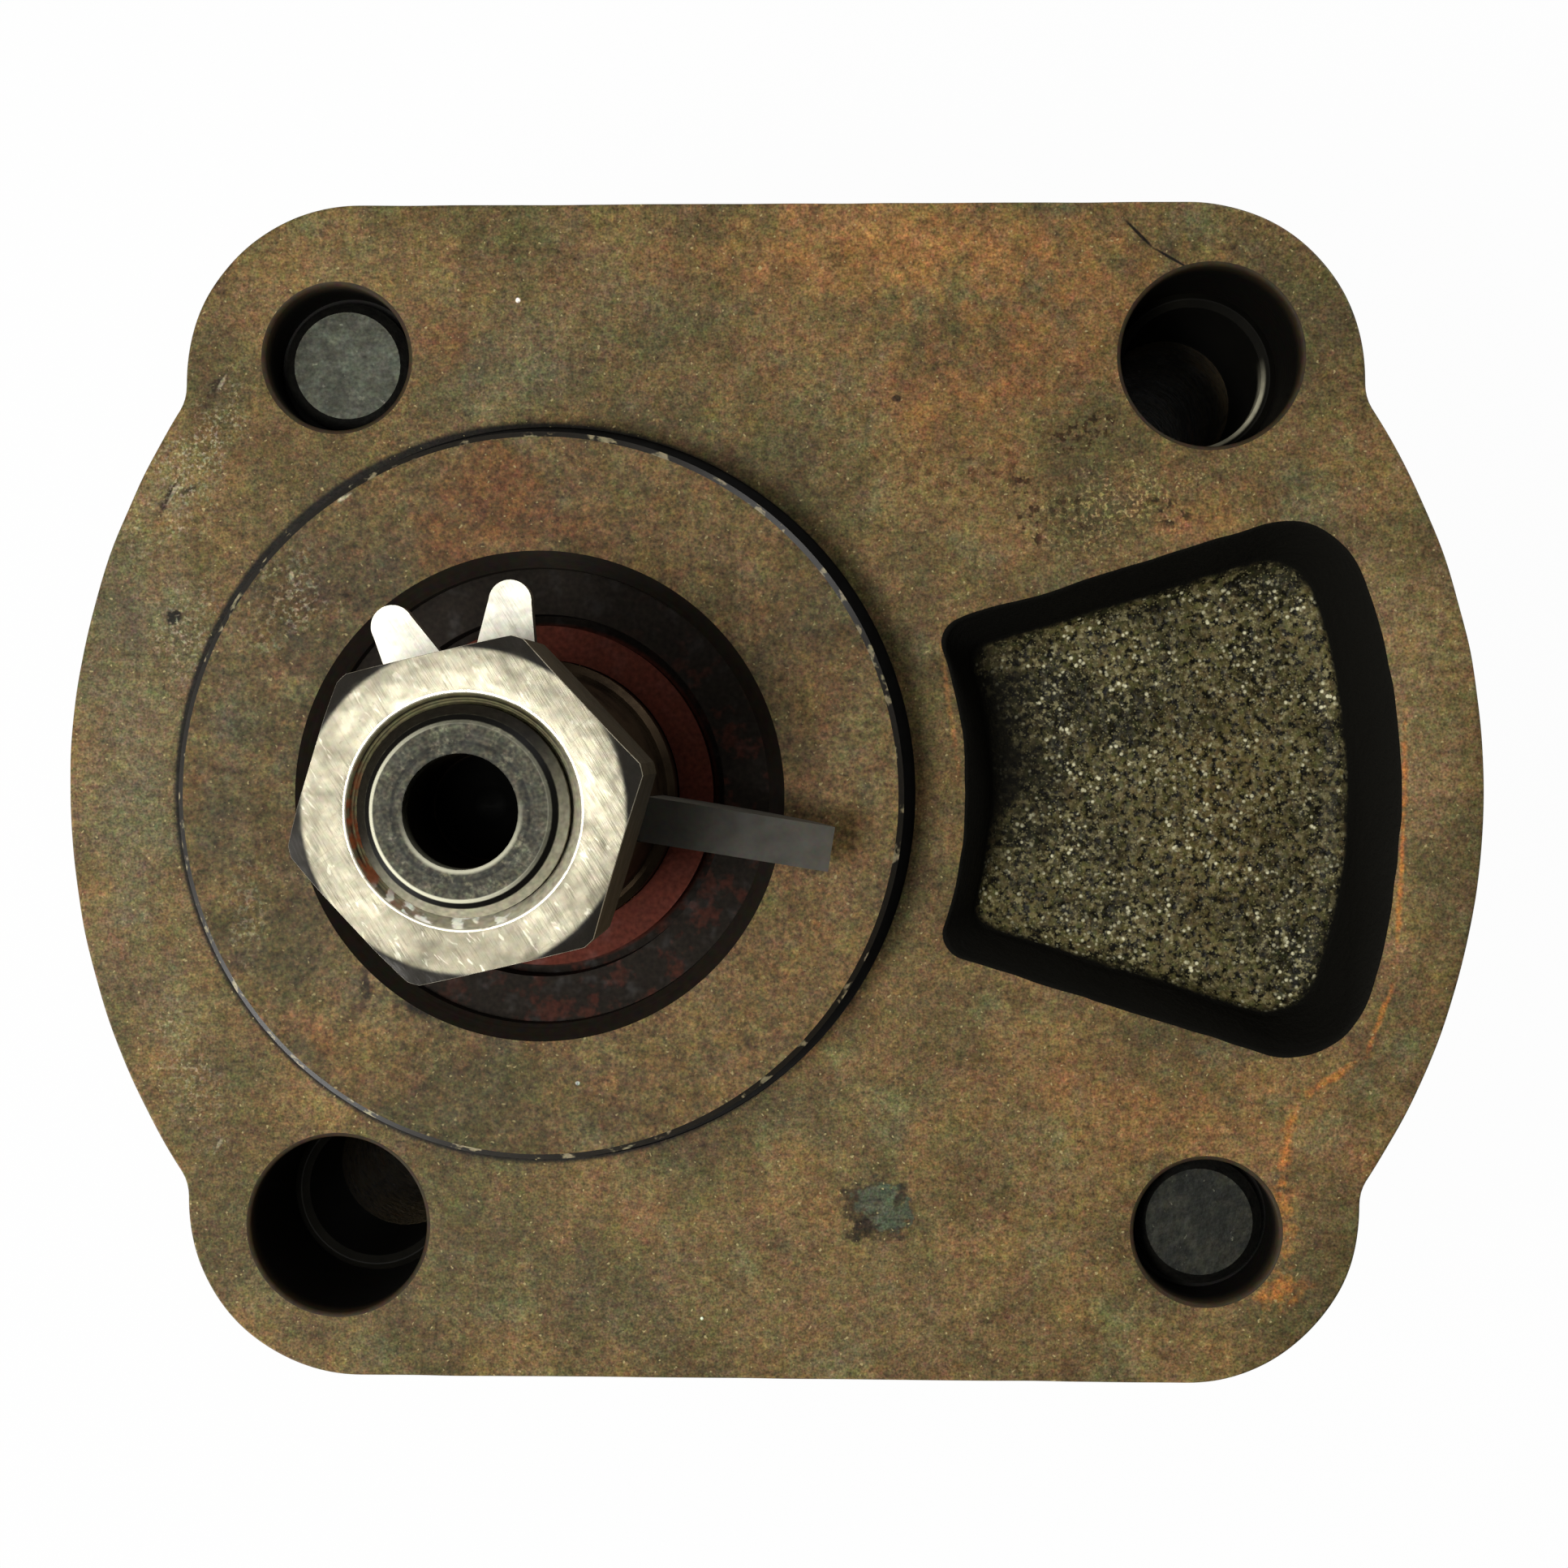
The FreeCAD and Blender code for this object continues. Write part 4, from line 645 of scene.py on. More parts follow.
@dataclass(frozen=True)
class CastSkin:
    """Sand-cast skin, left as it came from the mould, dark with oil.

    joints are the heights where castings meet and grime gathers.
    """

    name: str
    light: Colour = srgb(112, 97, 69)
    dark: Colour = srgb(78, 67, 47)
    joints: tuple[float, ...] = (-18.0, -76.1)

    def build(self) -> bpy.types.Material:
        """Clouds, runs of oil and grime at the joints over a coarse and a fine sand grain.

        Returns:
            The finished material.
        """
        shader = Shader(self.name)
        clouds = shader.rise(shader.noise(9.0, 5.0, 0.62), 0.32, 0.68)
        colour = shader.blend(clouds, self.dark, self.light)
        rust = shader.rise(shader.noise(6.0, 4.0, 0.65, 0.4), 0.58, 0.72)
        colour = shader.cover(colour, rust, 0.4, RUST)
        runs = shader.noise(1.6, 3.0, 0.6, 0.0, shader.stretched((1.0, 1.0, 12.0)))
        colour = shader.cover(colour, shader.rise(runs, 0.55, 0.7), 0.55, srgb(46, 38, 26))
        height = shader.height()
        for joint in self.joints:
            away = shader.maths(Step.UNSIGNED, shader.maths(Step.MINUS, height, joint * MM))
            away = shader.maths(Step.PLUS, away, shader.times(shader.noise(2.0, 3.0), 4.0 * MM))
            near = shader.rise(away, 4.0 * MM, 1.4 * MM)
            colour = shader.cover(colour, near, 0.75, srgb(38, 31, 21))
        colour = shader.speckle(colour, 0.4, 0.4, 1.1)
        sand = shader.noise(0.7, 3.0, 0.6)
        hollows = shader.rise(sand, 0.48, 0.34)
        colour = shader.cover(colour, hollows, 0.7, srgb(34, 29, 20))
        lumps = shader.bump(shader.noise(3.0, 3.0, 0.5), 0.4)
        normal = shader.bump(sand, 0.22, under=lumps)
        roughness = shader.scale(shader.noise(1.2, 3.0), 0.42, 0.75)
        return shader.finish(colour, roughness, normal=normal, specular=0.35)


@dataclass(frozen=True)
class OiledPocketWithPaintedLight:
    """Rough floor and black walls of the lightening pocket, with painted glints and a painted shadow.

    floor is the height of its floor in millimetres.
    """

    name: str
    floor: float = -9.0

    def build(self) -> bpy.types.Material:
        """Black walls, and a floor of wet sand grains with painted glints and a painted shadow of the
        left wall.

        Returns:
            The finished material.
        """
        shader = Shader(self.name)
        facing = shader.facing_up()
        height = shader.height()
        deep = shader.rise(height, (self.floor + 1.1) * MM, (self.floor + 0.45) * MM)
        flat = shader.rise(facing, 0.3, 0.6)
        floor = shader.times(deep, flat)
        clouds = shader.rise(shader.noise(5.0, 3.0, 0.6), 0.36, 0.62)
        tone = shader.blend(clouds, srgb(46, 43, 26), srgb(96, 87, 53))
        middle = Mark(50.0, 0.0, 7.5, 13.0, srgb(98, 84, 48), 0.7, ragged=0.5, grain=4.0, soft=0.9)
        tone = shader.blend(middle.mask(shader), tone, middle.colour)
        tone = shader.speckle(tone, 0.5, 0.6, 1.6)
        grains = shader.noise(0.6, 2.0, 0.65)
        tone = shader.blend(shader.rise(grains, 0.56, 0.38), tone, srgb(19, 17, 10))
        patches = shader.rise(shader.noise(2.6, 3.0, 0.6), 0.4, 0.6)
        blobs = shader.rise(shader.noise(0.5, 2.0, 0.6), 0.52, 0.68)
        blobs = shader.times(blobs, shader.scale(patches, 0.35, 0.85))
        tone = shader.blend(blobs, tone, srgb(146, 138, 98))
        # Painted glints: bright dots on grains turned to the light, and a finer, fainter set.
        turned_to_light = shader.rise(shader.noise(0.7, 1.0), 0.42, 0.62)
        painted_sparkle = shader.times(shader.rise(shader.cells(0.5), 0.4, 0.16), turned_to_light)
        tone = shader.cover(tone, painted_sparkle, patches, srgb(228, 222, 182))
        fine_sparkle = shader.rise(shader.cells(0.28), 0.3, 0.12)
        tone = shader.cover(tone, fine_sparkle, 0.5, srgb(160, 152, 106))
        # Painted shadow of the left wall on the pocket's floor.
        shade = Mark(29.8, 3.0, 8.8, 12.0, WALL_AND_SHADOW_BLACK, 0.96, turn=10.0, ragged=0.3, soft=0.6)
        painted_shadow = shade.mask(shader)
        tone = shader.blend(painted_shadow, tone, WALL_AND_SHADOW_BLACK)
        colour = shader.blend(floor, WALL_AND_SHADOW_BLACK, tone)
        normal = shader.bump(grains, 0.2)
        lit = shader.maths(Step.MINUS, floor, painted_shadow)
        roughness = shader.scale(lit, 0.9, 0.45)
        return shader.finish(colour, roughness, normal=normal, specular=0.09)


@dataclass(frozen=True)
class DarkBore:
    """Wall of a drilled hole, brown near its mouth, with painted shade that darkens it below."""

    name: str
    deep: Colour = srgb(20, 18, 14)
    mouth: Colour = srgb(58, 47, 32)

    def build(self) -> bpy.types.Material:
        """Drill rings, with painted shade below the mouth.

        Returns:
            The finished material.
        """
        shader = Shader(self.name)
        height = shader.height()
        # Painted shade: the wall darkens from the mouth's colour to the deep one below the mouth.
        near_mouth = shader.rise(height, -2.4 * MM, 0.6 * MM)
        colour = shader.blend(near_mouth, self.deep, self.mouth)
        colour = shader.blend(0.6, colour, shader.tints(0.6, 2.0), Mixing.STAIN)
        rings = shader.noise(0.25, 1.0, place=shader.stretched((30.0, 30.0, 1.0)))
        normal = shader.bump(rings, 0.03)
        return shader.finish(colour, 0.55, normal=normal, specular=0.12)


@dataclass(frozen=True)
class Steel:
    """Machined steel with turning lines, stains and worn spots.

    lines is the spacing of the turning lines in millimetres, and stain the colour of its film.
    """

    name: str
    colour: Colour
    stain: Colour
    stained: float = 0.4
    roughness: float = 0.32
    metallic: float = 1.0
    lines: float = 0.2

    def build(self) -> bpy.types.Material:
        """Turning lines, cloudy stains and fine scratches.

        Returns:
            The finished material.
        """
        shader = Shader(self.name)
        turned = shader.noise(self.lines, 2.0, 0.6, place=shader.stretched((40.0, 40.0, 1.0)))
        clouds = shader.rise(shader.noise(3.0, 4.0, 0.6), 0.42, 0.68)
        share = shader.times(clouds, self.stained)
        colour = shader.blend(share, self.colour, self.stain)
        colour = shader.blend(0.35, colour, shader.tints(0.35), Mixing.STAIN)
        dull = shader.scale(shader.noise(1.2, 3.0), self.roughness - 0.08, self.roughness + 0.18)
        normal = shader.bump(turned, 0.012)
        return shader.finish(colour, dull, self.metallic, normal)


@dataclass(frozen=True)
class BoltEnds:
    """Grey, oiled ends of the two clamp bolts; the one by the driven gear is painted darker as shade, and
    what doesn't face up is painted dark as shade.
    """

    name: str
    light: Colour = srgb(84, 86, 72)
    dark: Colour = srgb(30, 31, 24)

    def build(self) -> bpy.types.Material:
        """Cloudy grey with specks and a few bare spots, over a faint dent pattern.

        Returns:
            The finished material.
        """
        shader = Shader(self.name)
        # Painted shade: the bolt by the driven gear is darker.
        side = shader.step_along(0.0, 10.0, 20.0)
        tone = shader.blend(side, self.light, self.dark)
        clouds = shader.rise(shader.noise(2.2, 4.0, 0.65), 0.42, 0.62)
        colour = shader.cover(tone, clouds, 0.6, srgb(52, 52, 40))
        bare = shader.rise(shader.noise(0.9, 3.0, 0.65), 0.64, 0.7)
        colour = shader.cover(colour, bare, 0.5, srgb(140, 140, 118))
        # Painted shade where the surface turns away from facing up.
        facing = shader.facing_up()
        colour = shader.blend(shader.rise(facing, 0.97, 0.85), colour, srgb(18, 17, 13))
        colour = shader.speckle(colour, 0.35, 0.25, 1.5)
        colour = shader.speckle(colour, 1.1, 0.2, 1.3)
        normal = shader.bump(shader.noise(0.8, 3.0), 0.12)
        return shader.finish(colour, 0.6, 0.2, normal, 0.3)


@dataclass(frozen=True)
class SleeveDowel:
    """Black, oily sleeves, of which one has a painted highlight on its lower right rim.

    centre is the X and Y of that one's axis, and bore its inner radius.
    """

    name: str
    bore: float = 5.4
    centre: tuple[float, float] = (47.625, 31.75)

    def build(self) -> bpy.types.Material:
        """Black steel with a painted highlight arc round part of its bore.

        Returns:
            The finished material.
        """
        shader = Shader(self.name)
        away = shader.from_axis(*self.centre)
        # Painted highlight: a bright arc on the lower right of the bore's rim, patchy along its length.
        rim = shader.rise(away, (self.bore + 0.36) * MM, (self.bore + 0.16) * MM)
        middle = (self.centre[0] - self.centre[1]) * math.sqrt(0.5)
        lower_right = shader.step_along(-45.0, middle + 2.6, middle + 5.2)
        near_top = shader.rise(shader.height(), -12.5 * MM, -11.0 * MM)
        share = shader.times(shader.times(rim, lower_right), near_top)
        worn = shader.scale(shader.noise(1.2, 3.0), 0.3, 1.2)
        base = shader.blend(shader.noise(1.4, 3.0), srgb(10, 10, 8), srgb(26, 24, 18))
        colour = shader.cover(base, share, worn, srgb(196, 190, 162))
        return shader.finish(colour, 0.6, 0.0, specular=0.1)


@dataclass(frozen=True)
class PaintedEdgeHighlight:
    """Edge of a plated piece, painted bright as a highlight."""

    name: str
    colour: Colour = srgb(232, 226, 204)

    def build(self) -> bpy.types.Material:
        """Painted highlight: bright metal with small dull gaps.

        Returns:
            The finished material.
        """
        shader = Shader(self.name)
        # Painted highlight along the edge, broken by dull patches.
        gaps = shader.rise(shader.noise(1.2, 3.0, 0.6), 0.52, 0.68)
        colour = shader.blend(shader.times(gaps, 0.7), self.colour, srgb(110, 102, 82))
        return shader.finish(colour, 0.3, 0.5)


@dataclass(frozen=True)
class WornZincAndPaintedLight:
    """Bright zinc plate, burnished on its flats, with swept scratches and grey bruises, and with light
    and shade painted onto it.

    crown is the radius in millimetres beyond which the face is painted dark as shade, or 0 for none.
    """

    name: str
    bright: Colour = srgb(150, 144, 122)
    grey: Colour = srgb(96, 90, 70)
    dark: Colour = srgb(36, 32, 25)
    bruised: float = 0.85
    metallic: float = 0.45
    crown: float = 0.0

    def build(self) -> bpy.types.Material:
        """Bright top, painted shade on the flanks, painted light and shade across the face, painted
        reflections, and scratches that sweep across it.

        Returns:
            The finished material.
        """
        shader = Shader(self.name)
        # Painted shade: whatever turns from facing up takes the dark colour.
        facing = shader.facing_up()
        top = shader.rise(facing, 0.86, 0.985)
        sweep = shader.stretched((1.0, 3.2, 1.0), 38.0)
        clouds = shader.rise(shader.noise(3.4, 2.0, 0.4, 1.0, sweep), 0.36, 0.66)
        # Painted light: the bruises thin out towards the top, and the lower right is painted greyer.
        upper = shader.step_along(75.0, -4.0, 9.0)
        share = shader.times(clouds, shader.scale(upper, self.bruised, 0.35 * self.bruised))
        face = shader.blend(share, self.bright, self.grey)
        lower = shader.times(shader.step_along(-62.0, 2.0, 8.5), 0.5)
        face = shader.blend(lower, face, self.grey)
        swept = shader.noise(0.22, 2.0, 0.7, 0.0, shader.stretched((1.0, 14.0, 1.0), 32.0))
        crossed = shader.noise(0.26, 2.0, 0.7, 0.0, shader.stretched((1.0, 12.0, 1.0), -52.0))
        first, second = shader.rise(swept, 0.58, 0.66), shader.rise(crossed, 0.64, 0.7)
        lines = shader.maths(Step.LARGER, first, second)
        face = shader.cover(face, lines, 0.3, self.grey)
        # Painted reflections: bright streaks swept across the face.
        bright = shader.rise(shader.noise(0.4, 2.0, 0.6, 0.5, sweep), 0.6, 0.72)
        face = shader.cover(face, bright, 0.25, srgb(236, 231, 208))
        stains = shader.rise(shader.noise(0.7, 3.0, 0.7), 0.64, 0.73)
        face = shader.cover(face, stains, 0.5, srgb(84, 74, 54))
        # Painted shade on the face past the crown, where it falls away.
        if self.crown:
            worn = shader.scale(shader.noise(1.4, 3.0), 0.55, 1.4)
            crown = shader.rise(shader.from_axis(), (self.crown - 0.12) * MM, (self.crown + 0.16) * MM)
            face = shader.cover(face, crown, worn, srgb(26, 23, 18))
        colour = shader.blend(top, self.dark, face)
        colour = shader.speckle(colour, 0.4, 0.2, 0.35)
        roughness = shader.scale(shader.noise(1.1, 3.0), 0.36, 0.56)
        lumps = shader.bump(shader.noise(3.0, 2.0), 0.35)
        normal = shader.bump(swept, 0.02, under=lumps)
        return shader.finish(colour, roughness, self.metallic, normal)


@dataclass(frozen=True)
class CountersunkSteel:
    """Polished cone of the nut, brown with oil on one side and painted bright on the other as light, with
    a painted glare.
    """

    name: str

    def build(self) -> bpy.types.Material:
        """Olive rings, brown at the left, painted bright at the lower right, and a painted glare at the
        foot.

        Returns:
            The finished material.
        """
        shader = Shader(self.name)
        # Painted light: the cone is painted bright towards the lower right.
        side = shader.step_along(-50.0, -1.5, 6.0)
        rings = shader.rise(shader.rings(0.3), 0.42, 0.6)
        olive = shader.blend(rings, srgb(34, 31, 22), srgb(150, 143, 104))
        streaks = shader.rise(shader.noise(1.0, 3.0), 0.4, 0.6)
        left = shader.times(shader.step_along(205.0, 3.6, 5.6), streaks)
        brown = shader.blend(left, olive, srgb(118, 62, 36))
        colour = shader.blend(side, brown, srgb(164, 158, 134))
        # Painted highlight: a glare at the foot of the cone.
        glare = shader.rise(shader.noise(0.8, 2.0), 0.5, 0.6)
        foot = shader.step_along(-100.0, 4.6, 6.2)
        colour = shader.cover(colour, foot, glare, srgb(248, 246, 230))
        colour = shader.speckle(colour, 0.5, 0.3, 1.0)
        return shader.finish(colour, 0.45, 0.0, specular=0.3)


@dataclass(frozen=True)
class ShaftSteel:
    """Ground shaft with a dull, oiled end, with painted light on it: bright rims and a thread chamfer lit
    on one side, and painted shade round the end and in the black centre hole.

    The end's height and radius and the hole's radius are in millimetres.
    """

    name: str
    ground: Colour = srgb(56, 45, 32)
    oiled: Colour = srgb(32, 24, 16)
    end: Colour = srgb(64, 62, 49)
    end_height: float = 40.9
    end_radius: float = 5.12
    hole_radius: float = 3.35

    def build(self) -> bpy.types.Material:
        """Turning lines, a speckled end with painted highlights on its rims, and painted shade round the
        end and in the centre hole.

        Returns:
            The finished material.
        """
        shader = Shader(self.name)
        turned = shader.noise(0.2, 2.0, 0.6, place=shader.stretched((40.0, 40.0, 1.0)))
        clouds = shader.rise(shader.noise(3.0, 4.0, 0.6), 0.42, 0.68)
        colour = shader.blend(clouds, self.ground, self.oiled)
        height = shader.height()
        near_end = shader.rise(height, (self.end_height - 1.7) * MM, (self.end_height - 1.4) * MM)
        away = shader.from_axis()
        end = shader.blend(shader.rise(shader.rings(0.45), 0.4, 0.66), self.end, srgb(34, 33, 25))
        worn = shader.rise(shader.noise(0.9, 4.0, 0.7), 0.5, 0.68)
        end = shader.cover(end, worn, 0.5, srgb(120, 118, 96))
        end = shader.speckle(end, 0.3, 0.3, 2.0)
        end = shader.speckle(end, 0.6, 0.2, 1.5)
        # Painted highlights on the end's outer rim, strongest at the lower left, and on the lower side of
        # the hole's rim.
        painted_highlight_side = shader.scale(shader.step_along(215.0, -3.0, 3.0), 0.15, 0.9)
        rim = self._band(shader, away, self.end_radius - 0.22, self.end_radius)
        end = shader.cover(end, rim, painted_highlight_side, srgb(196, 193, 168))
        foot = shader.scale(shader.step_along(-80.0, -1.0, 3.4), 0.0, 0.75)
        inner = shader.rise(away, (self.hole_radius + 0.22) * MM, self.hole_radius * MM)
        end = shader.cover(end, inner, foot, srgb(186, 183, 158))
        # Painted light on the thread's chamfer: bright on one side and dark on the other.
        chamfer = shader.blend(shader.step_along(-60.0, -2.0, 6.0), srgb(24, 21, 15), srgb(150, 145, 122))
        chamfer = shader.speckle(chamfer, 0.5, 0.2, 1.0)
        outside = shader.rise(away, (self.end_radius + 0.28) * MM, (self.end_radius + 0.36) * MM)
        end = shader.blend(outside, end, chamfer)
        # Painted shade in the narrow ring round the end.
        painted_gap_shade = self._band(shader, away, self.end_radius, self.end_radius + 0.32)
        end = shader.blend(painted_gap_shade, end, srgb(10, 9, 7))
        colour = shader.blend(near_end, colour, end)
        # Painted shade: the centre hole is painted black.
        painted_hole_shade = shader.rise(away, self.hole_radius * MM, (self.hole_radius - 0.25) * MM)
        above = shader.rise(height, 20.0 * MM, 21.0 * MM)
        painted_hole_shade = shader.times(painted_hole_shade, above)
        colour = shader.blend(painted_hole_shade, colour, srgb(6, 6, 5))
        normal = shader.bump(turned, 0.012)
        shiny = shader.scale(near_end, 0.75, 0.0)
        roughness = shader.scale(shader.noise(1.2, 3.0), 0.36, 0.6)
        return shader.finish(colour, roughness, shiny, normal, 0.07)

    def _band(self, shader: Shader, away: Socket, low: float, high: float) -> Socket:
        """Mask of a ring between two radii.

        Args:
            shader: Shader that the ring goes into.
            away: Distance from the axis in metres.
            low: Inner radius in millimetres.
            high: Outer radius in millimetres.

        Returns:
            The mask, 1 on the ring.
        """
        soft = 0.05
        outer = shader.rise(away, (high + soft) * MM, (high - soft) * MM)
        return shader.times(outer, shader.rise(away, (low - soft) * MM, (low + soft) * MM))


@dataclass(frozen=True)
class SealRubber:
    """Red-brown fluoro rubber with a dull gloss, painted dark outside the lip as shade, with red smears
    on its lit lower right.

    red_out is the radius in millimetres within which it is red.
    """

    name: str
    red: Colour = srgb(90, 42, 30)
    dark: Colour = srgb(31, 26, 20)
    red_out: float = 12.2

    def build(self) -> bpy.types.Material:
        """Red inner lip, and an outer ring painted dark as shade.

        Returns:
            The finished material.
        """
        shader = Shader(self.name)
        away = shader.from_axis()
        clouds = shader.noise(2.4, 3.0, 0.6)
        # Painted shade: outside red_out the rubber is painted dark, and red smears come back towards the
        # lit lower right.
        inner = shader.rise(away, (self.red_out + 0.2) * MM, (self.red_out - 0.2) * MM)
        lit = shader.step_along(-35.0, -6.0, 12.0)
        smears = shader.rise(shader.noise(1.6, 3.0, 0.6), 0.5, 0.66)
        outer = shader.times(shader.times(smears, lit), 0.45)
        share = shader.maths(Step.LARGER, inner, outer)
        share = shader.times(share, shader.scale(clouds, 0.6, 1.1))
        colour = shader.blend(share, self.dark, self.red)
        colour = shader.speckle(colour, 0.5, 0.2, 1.2)
        normal = shader.bump(shader.noise(1.1, 2.0), 0.03)
        wet = shader.rise(shader.noise(1.4, 2.0), 0.5, 0.75)
        roughness = shader.scale(wet, 0.75, 0.5)
        return shader.finish(colour, roughness, normal=normal, specular=0.1)


@dataclass(frozen=True)
class PlainStuff:
    """Finish of a piece that stays inside the pump: a tone with clouds and a fine grain."""

    name: str
    colour: Colour
    roughness: float = 0.4
    metallic: float = 0.0
    grain: float = 0.4

    def build(self) -> bpy.types.Material:
        """Cloudy tone over a fine grain.

        Returns:
            The finished material.
        """
        shader = Shader(self.name)
        darker = tuple(0.55 * part for part in self.colour[:3]) + (1.0,)
        clouds = shader.rise(shader.noise(4.0, 3.0), 0.4, 0.7)
        colour = shader.blend(shader.times(clouds, 0.5), self.colour, darker)
        colour = shader.blend(0.3, colour, shader.tints(0.5), Mixing.STAIN)
        normal = shader.bump(shader.noise(self.grain, 2.0), 0.02)
        roughness = shader.scale(shader.noise(1.0, 2.0), self.roughness - 0.08, self.roughness + 0.12)
        return shader.finish(colour, roughness, self.metallic, normal)


def noise_at(places: np.ndarray, size: float, seed: int = 0) -> np.ndarray:
    """Smooth random values from -1 to 1, one for each place.

    Each point of a cubic lattice has a random value, and between them the values run smoothly.

    Args:
        places: Places, with three numbers along the last axis, in millimetres.
        size: Spacing of the lattice in millimetres.
        seed: Number that picks the pattern.

    Returns:
        The values, with the last axis gone.
    """
    scaled = places / size + 1000.0
    cell = np.floor(scaled).astype(np.int64)
    part = scaled - cell
    part = part * part * (3 - 2 * part)
    total = np.zeros(places.shape[:-1])
    for corner in np.ndindex(2, 2, 2):
        spot = (cell + corner) @ np.array([374761393, 668265263, 1274126177]) + seed * 97531
        spot = (spot ^ (spot >> 13)) * 1103515245
        value = ((spot >> 8) & 0xFFFF) / 32767.5 - 1
        total += value * np.prod(np.where(corner, part, 1 - part), axis=-1)
    return total


def layered_noise(places: np.ndarray, size: float, layers: int = 3, seed: int = 0) -> np.ndarray:
    """Sum of noises, each half as coarse and a little over half as strong as the one before.

    Args:
        places: Places, with three numbers along the last axis, in millimetres.
        size: Lattice spacing of the coarsest noise in millimetres.
        layers: Number of noises.
        seed: Number that picks the pattern.

    Returns:
        Values from -1 to 1, with the last axis gone.
    """
    weights = 0.55 ** np.arange(layers)
    parts = [w * noise_at(places, size / 2**i, seed + i) for i, w in enumerate(weights)]
    return sum(parts) / weights.sum()


@dataclass(frozen=True)
class Grain:
    """Noise on a surface: its depth, the width of its blobs, the pattern's seed and its layers.

    Depth and width are in millimetres; where the depth wears another size, it is a share of it.
    """

    depth: float
    size: float
    seed: int
    layers: int = 1

    def at(self, places: np.ndarray) -> np.ndarray:
        """How far the surface strays at each place."""
        return self.depth * layered_noise(places, self.size, self.layers, self.seed)


def even_steps(loop: np.ndarray, count: int) -> np.ndarray:
    """Closed loop walked in equal steps.

    Args:
        loop: Points of the loop, one in each row.
        count: Number of steps.

    Returns:
        The new points.
    """
    shut = np.concatenate([loop, loop[:1]])
    walked = np.concatenate([[0.0], np.cumsum(np.linalg.norm(np.diff(shut, axis=0), axis=1))])
    stops = np.linspace(0.0, walked[-1], count, endpoint=False)
    return np.stack([np.interp(stops, walked, shut[:, axis]) for axis in (0, 1)], axis=1)


def inset(loop: np.ndarray, amount: np.ndarray | float) -> np.ndarray:
    """Counter-clockwise loop moved inwards.

    Args:
        loop: Points of the loop, one in each row.
        amount: How far in millimetres, for all points or for each.

    Returns:
        The new points.
    """
    along = np.roll(loop, -1, axis=0) - np.roll(loop, 1, axis=0)
    along /= np.linalg.norm(along, axis=1, keepdims=True)
    inward = np.stack([-along[:, 1], along[:, 0]], axis=1)
    return loop + inward * np.reshape(amount, (-1, 1))


def circle(x: float, y: float, radius: float, steps: int = 96) -> np.ndarray:
    """Points of a circle, counter-clockwise."""
    turn = np.linspace(0.0, FULL_TURN, steps, endpoint=False)
    return np.stack([x + radius * np.cos(turn), y + radius * np.sin(turn)], axis=1)


def at_height(loop: np.ndarray, height: np.ndarray | float) -> np.ndarray:
    """Flat loop with a height for its points."""
    return np.column_stack([loop, np.broadcast_to(height, len(loop))])


def lathe(profile: np.ndarray, x: float = 0.0, y: float = 0.0, steps: int = 96) -> np.ndarray:
    """Surface that a profile sweeps about an upright axis.

    Args:
        profile: Radius and height of each row, in millimetres.
        x: Place of the axis.
        y: Place of the axis.
        steps: Number of columns round the axis.

    Returns:
        Places by row, column and axis.
    """
    ring = circle(0.0, 0.0, 1.0, steps)
    flat = profile[:, None, :1] * ring[None] + (x, y)
    height = np.broadcast_to(profile[:, None, 1:], (len(profile), steps, 1))
    return np.concatenate([flat, height], axis=2)


def along(profile: Sequence[tuple[float, float]], step: float) -> np.ndarray:
    """Profile with points added on its straight stretches.

    Args:
        profile: Corners, each with a radius and a height.
        step: Largest distance between two points, in millimetres.

    Returns:
        The points, one in each row.
    """
    corners = np.array(profile, float)
    runs = []
    for first, last in zip(corners[:-1], corners[1:]):
        count = max(1, math.ceil(np.linalg.norm(last - first) / step))
        runs.append(first + (last - first) * np.arange(count)[:, None] / count)
    return np.concatenate([*runs, corners[-1:]])


def surface_normals(surface: np.ndarray) -> np.ndarray:
    """Normal at each place of a grid that closes on itself along its columns.

    It is the cross product of the ways to the next column and to the next row.

    Args:
        surface: Places by row, column and axis.

    Returns:
        Normals of length 1, in the same order.
    """
    down = np.gradient(surface, axis=0)
    across = np.roll(surface, -1, axis=1) - np.roll(surface, 1, axis=1)
    normal = np.cross(across, down)
    return normal / np.maximum(np.linalg.norm(normal, axis=2, keepdims=True), 1e-12)


def inside(points: np.ndarray, loops: Sequence[np.ndarray]) -> np.ndarray:
    """Whether each point lies within an odd number of loops.

    A ray from the point along X crosses a loop's edges an odd number of times if it is inside.

    Args:
        points: Points, one in each row.
        loops: Closed loops of points.

    Returns:
        A yes or no for each point.
    """
    odd = np.zeros(len(points), bool)
    across, up = points[:, :1], points[:, 1:2]
    for loop in loops:
        ahead = np.roll(loop, -1, axis=0)
        rise = np.where(ahead[:, 1] == loop[:, 1], 1.0, ahead[:, 1] - loop[:, 1])
        crossed = (loop[:, 1] > up) != (ahead[:, 1] > up)
        reach = loop[:, 0] + (up - loop[:, 1]) * (ahead[:, 0] - loop[:, 0]) / rise
        odd ^= (crossed & (across < reach)).sum(axis=1) % 2 == 1
    return odd


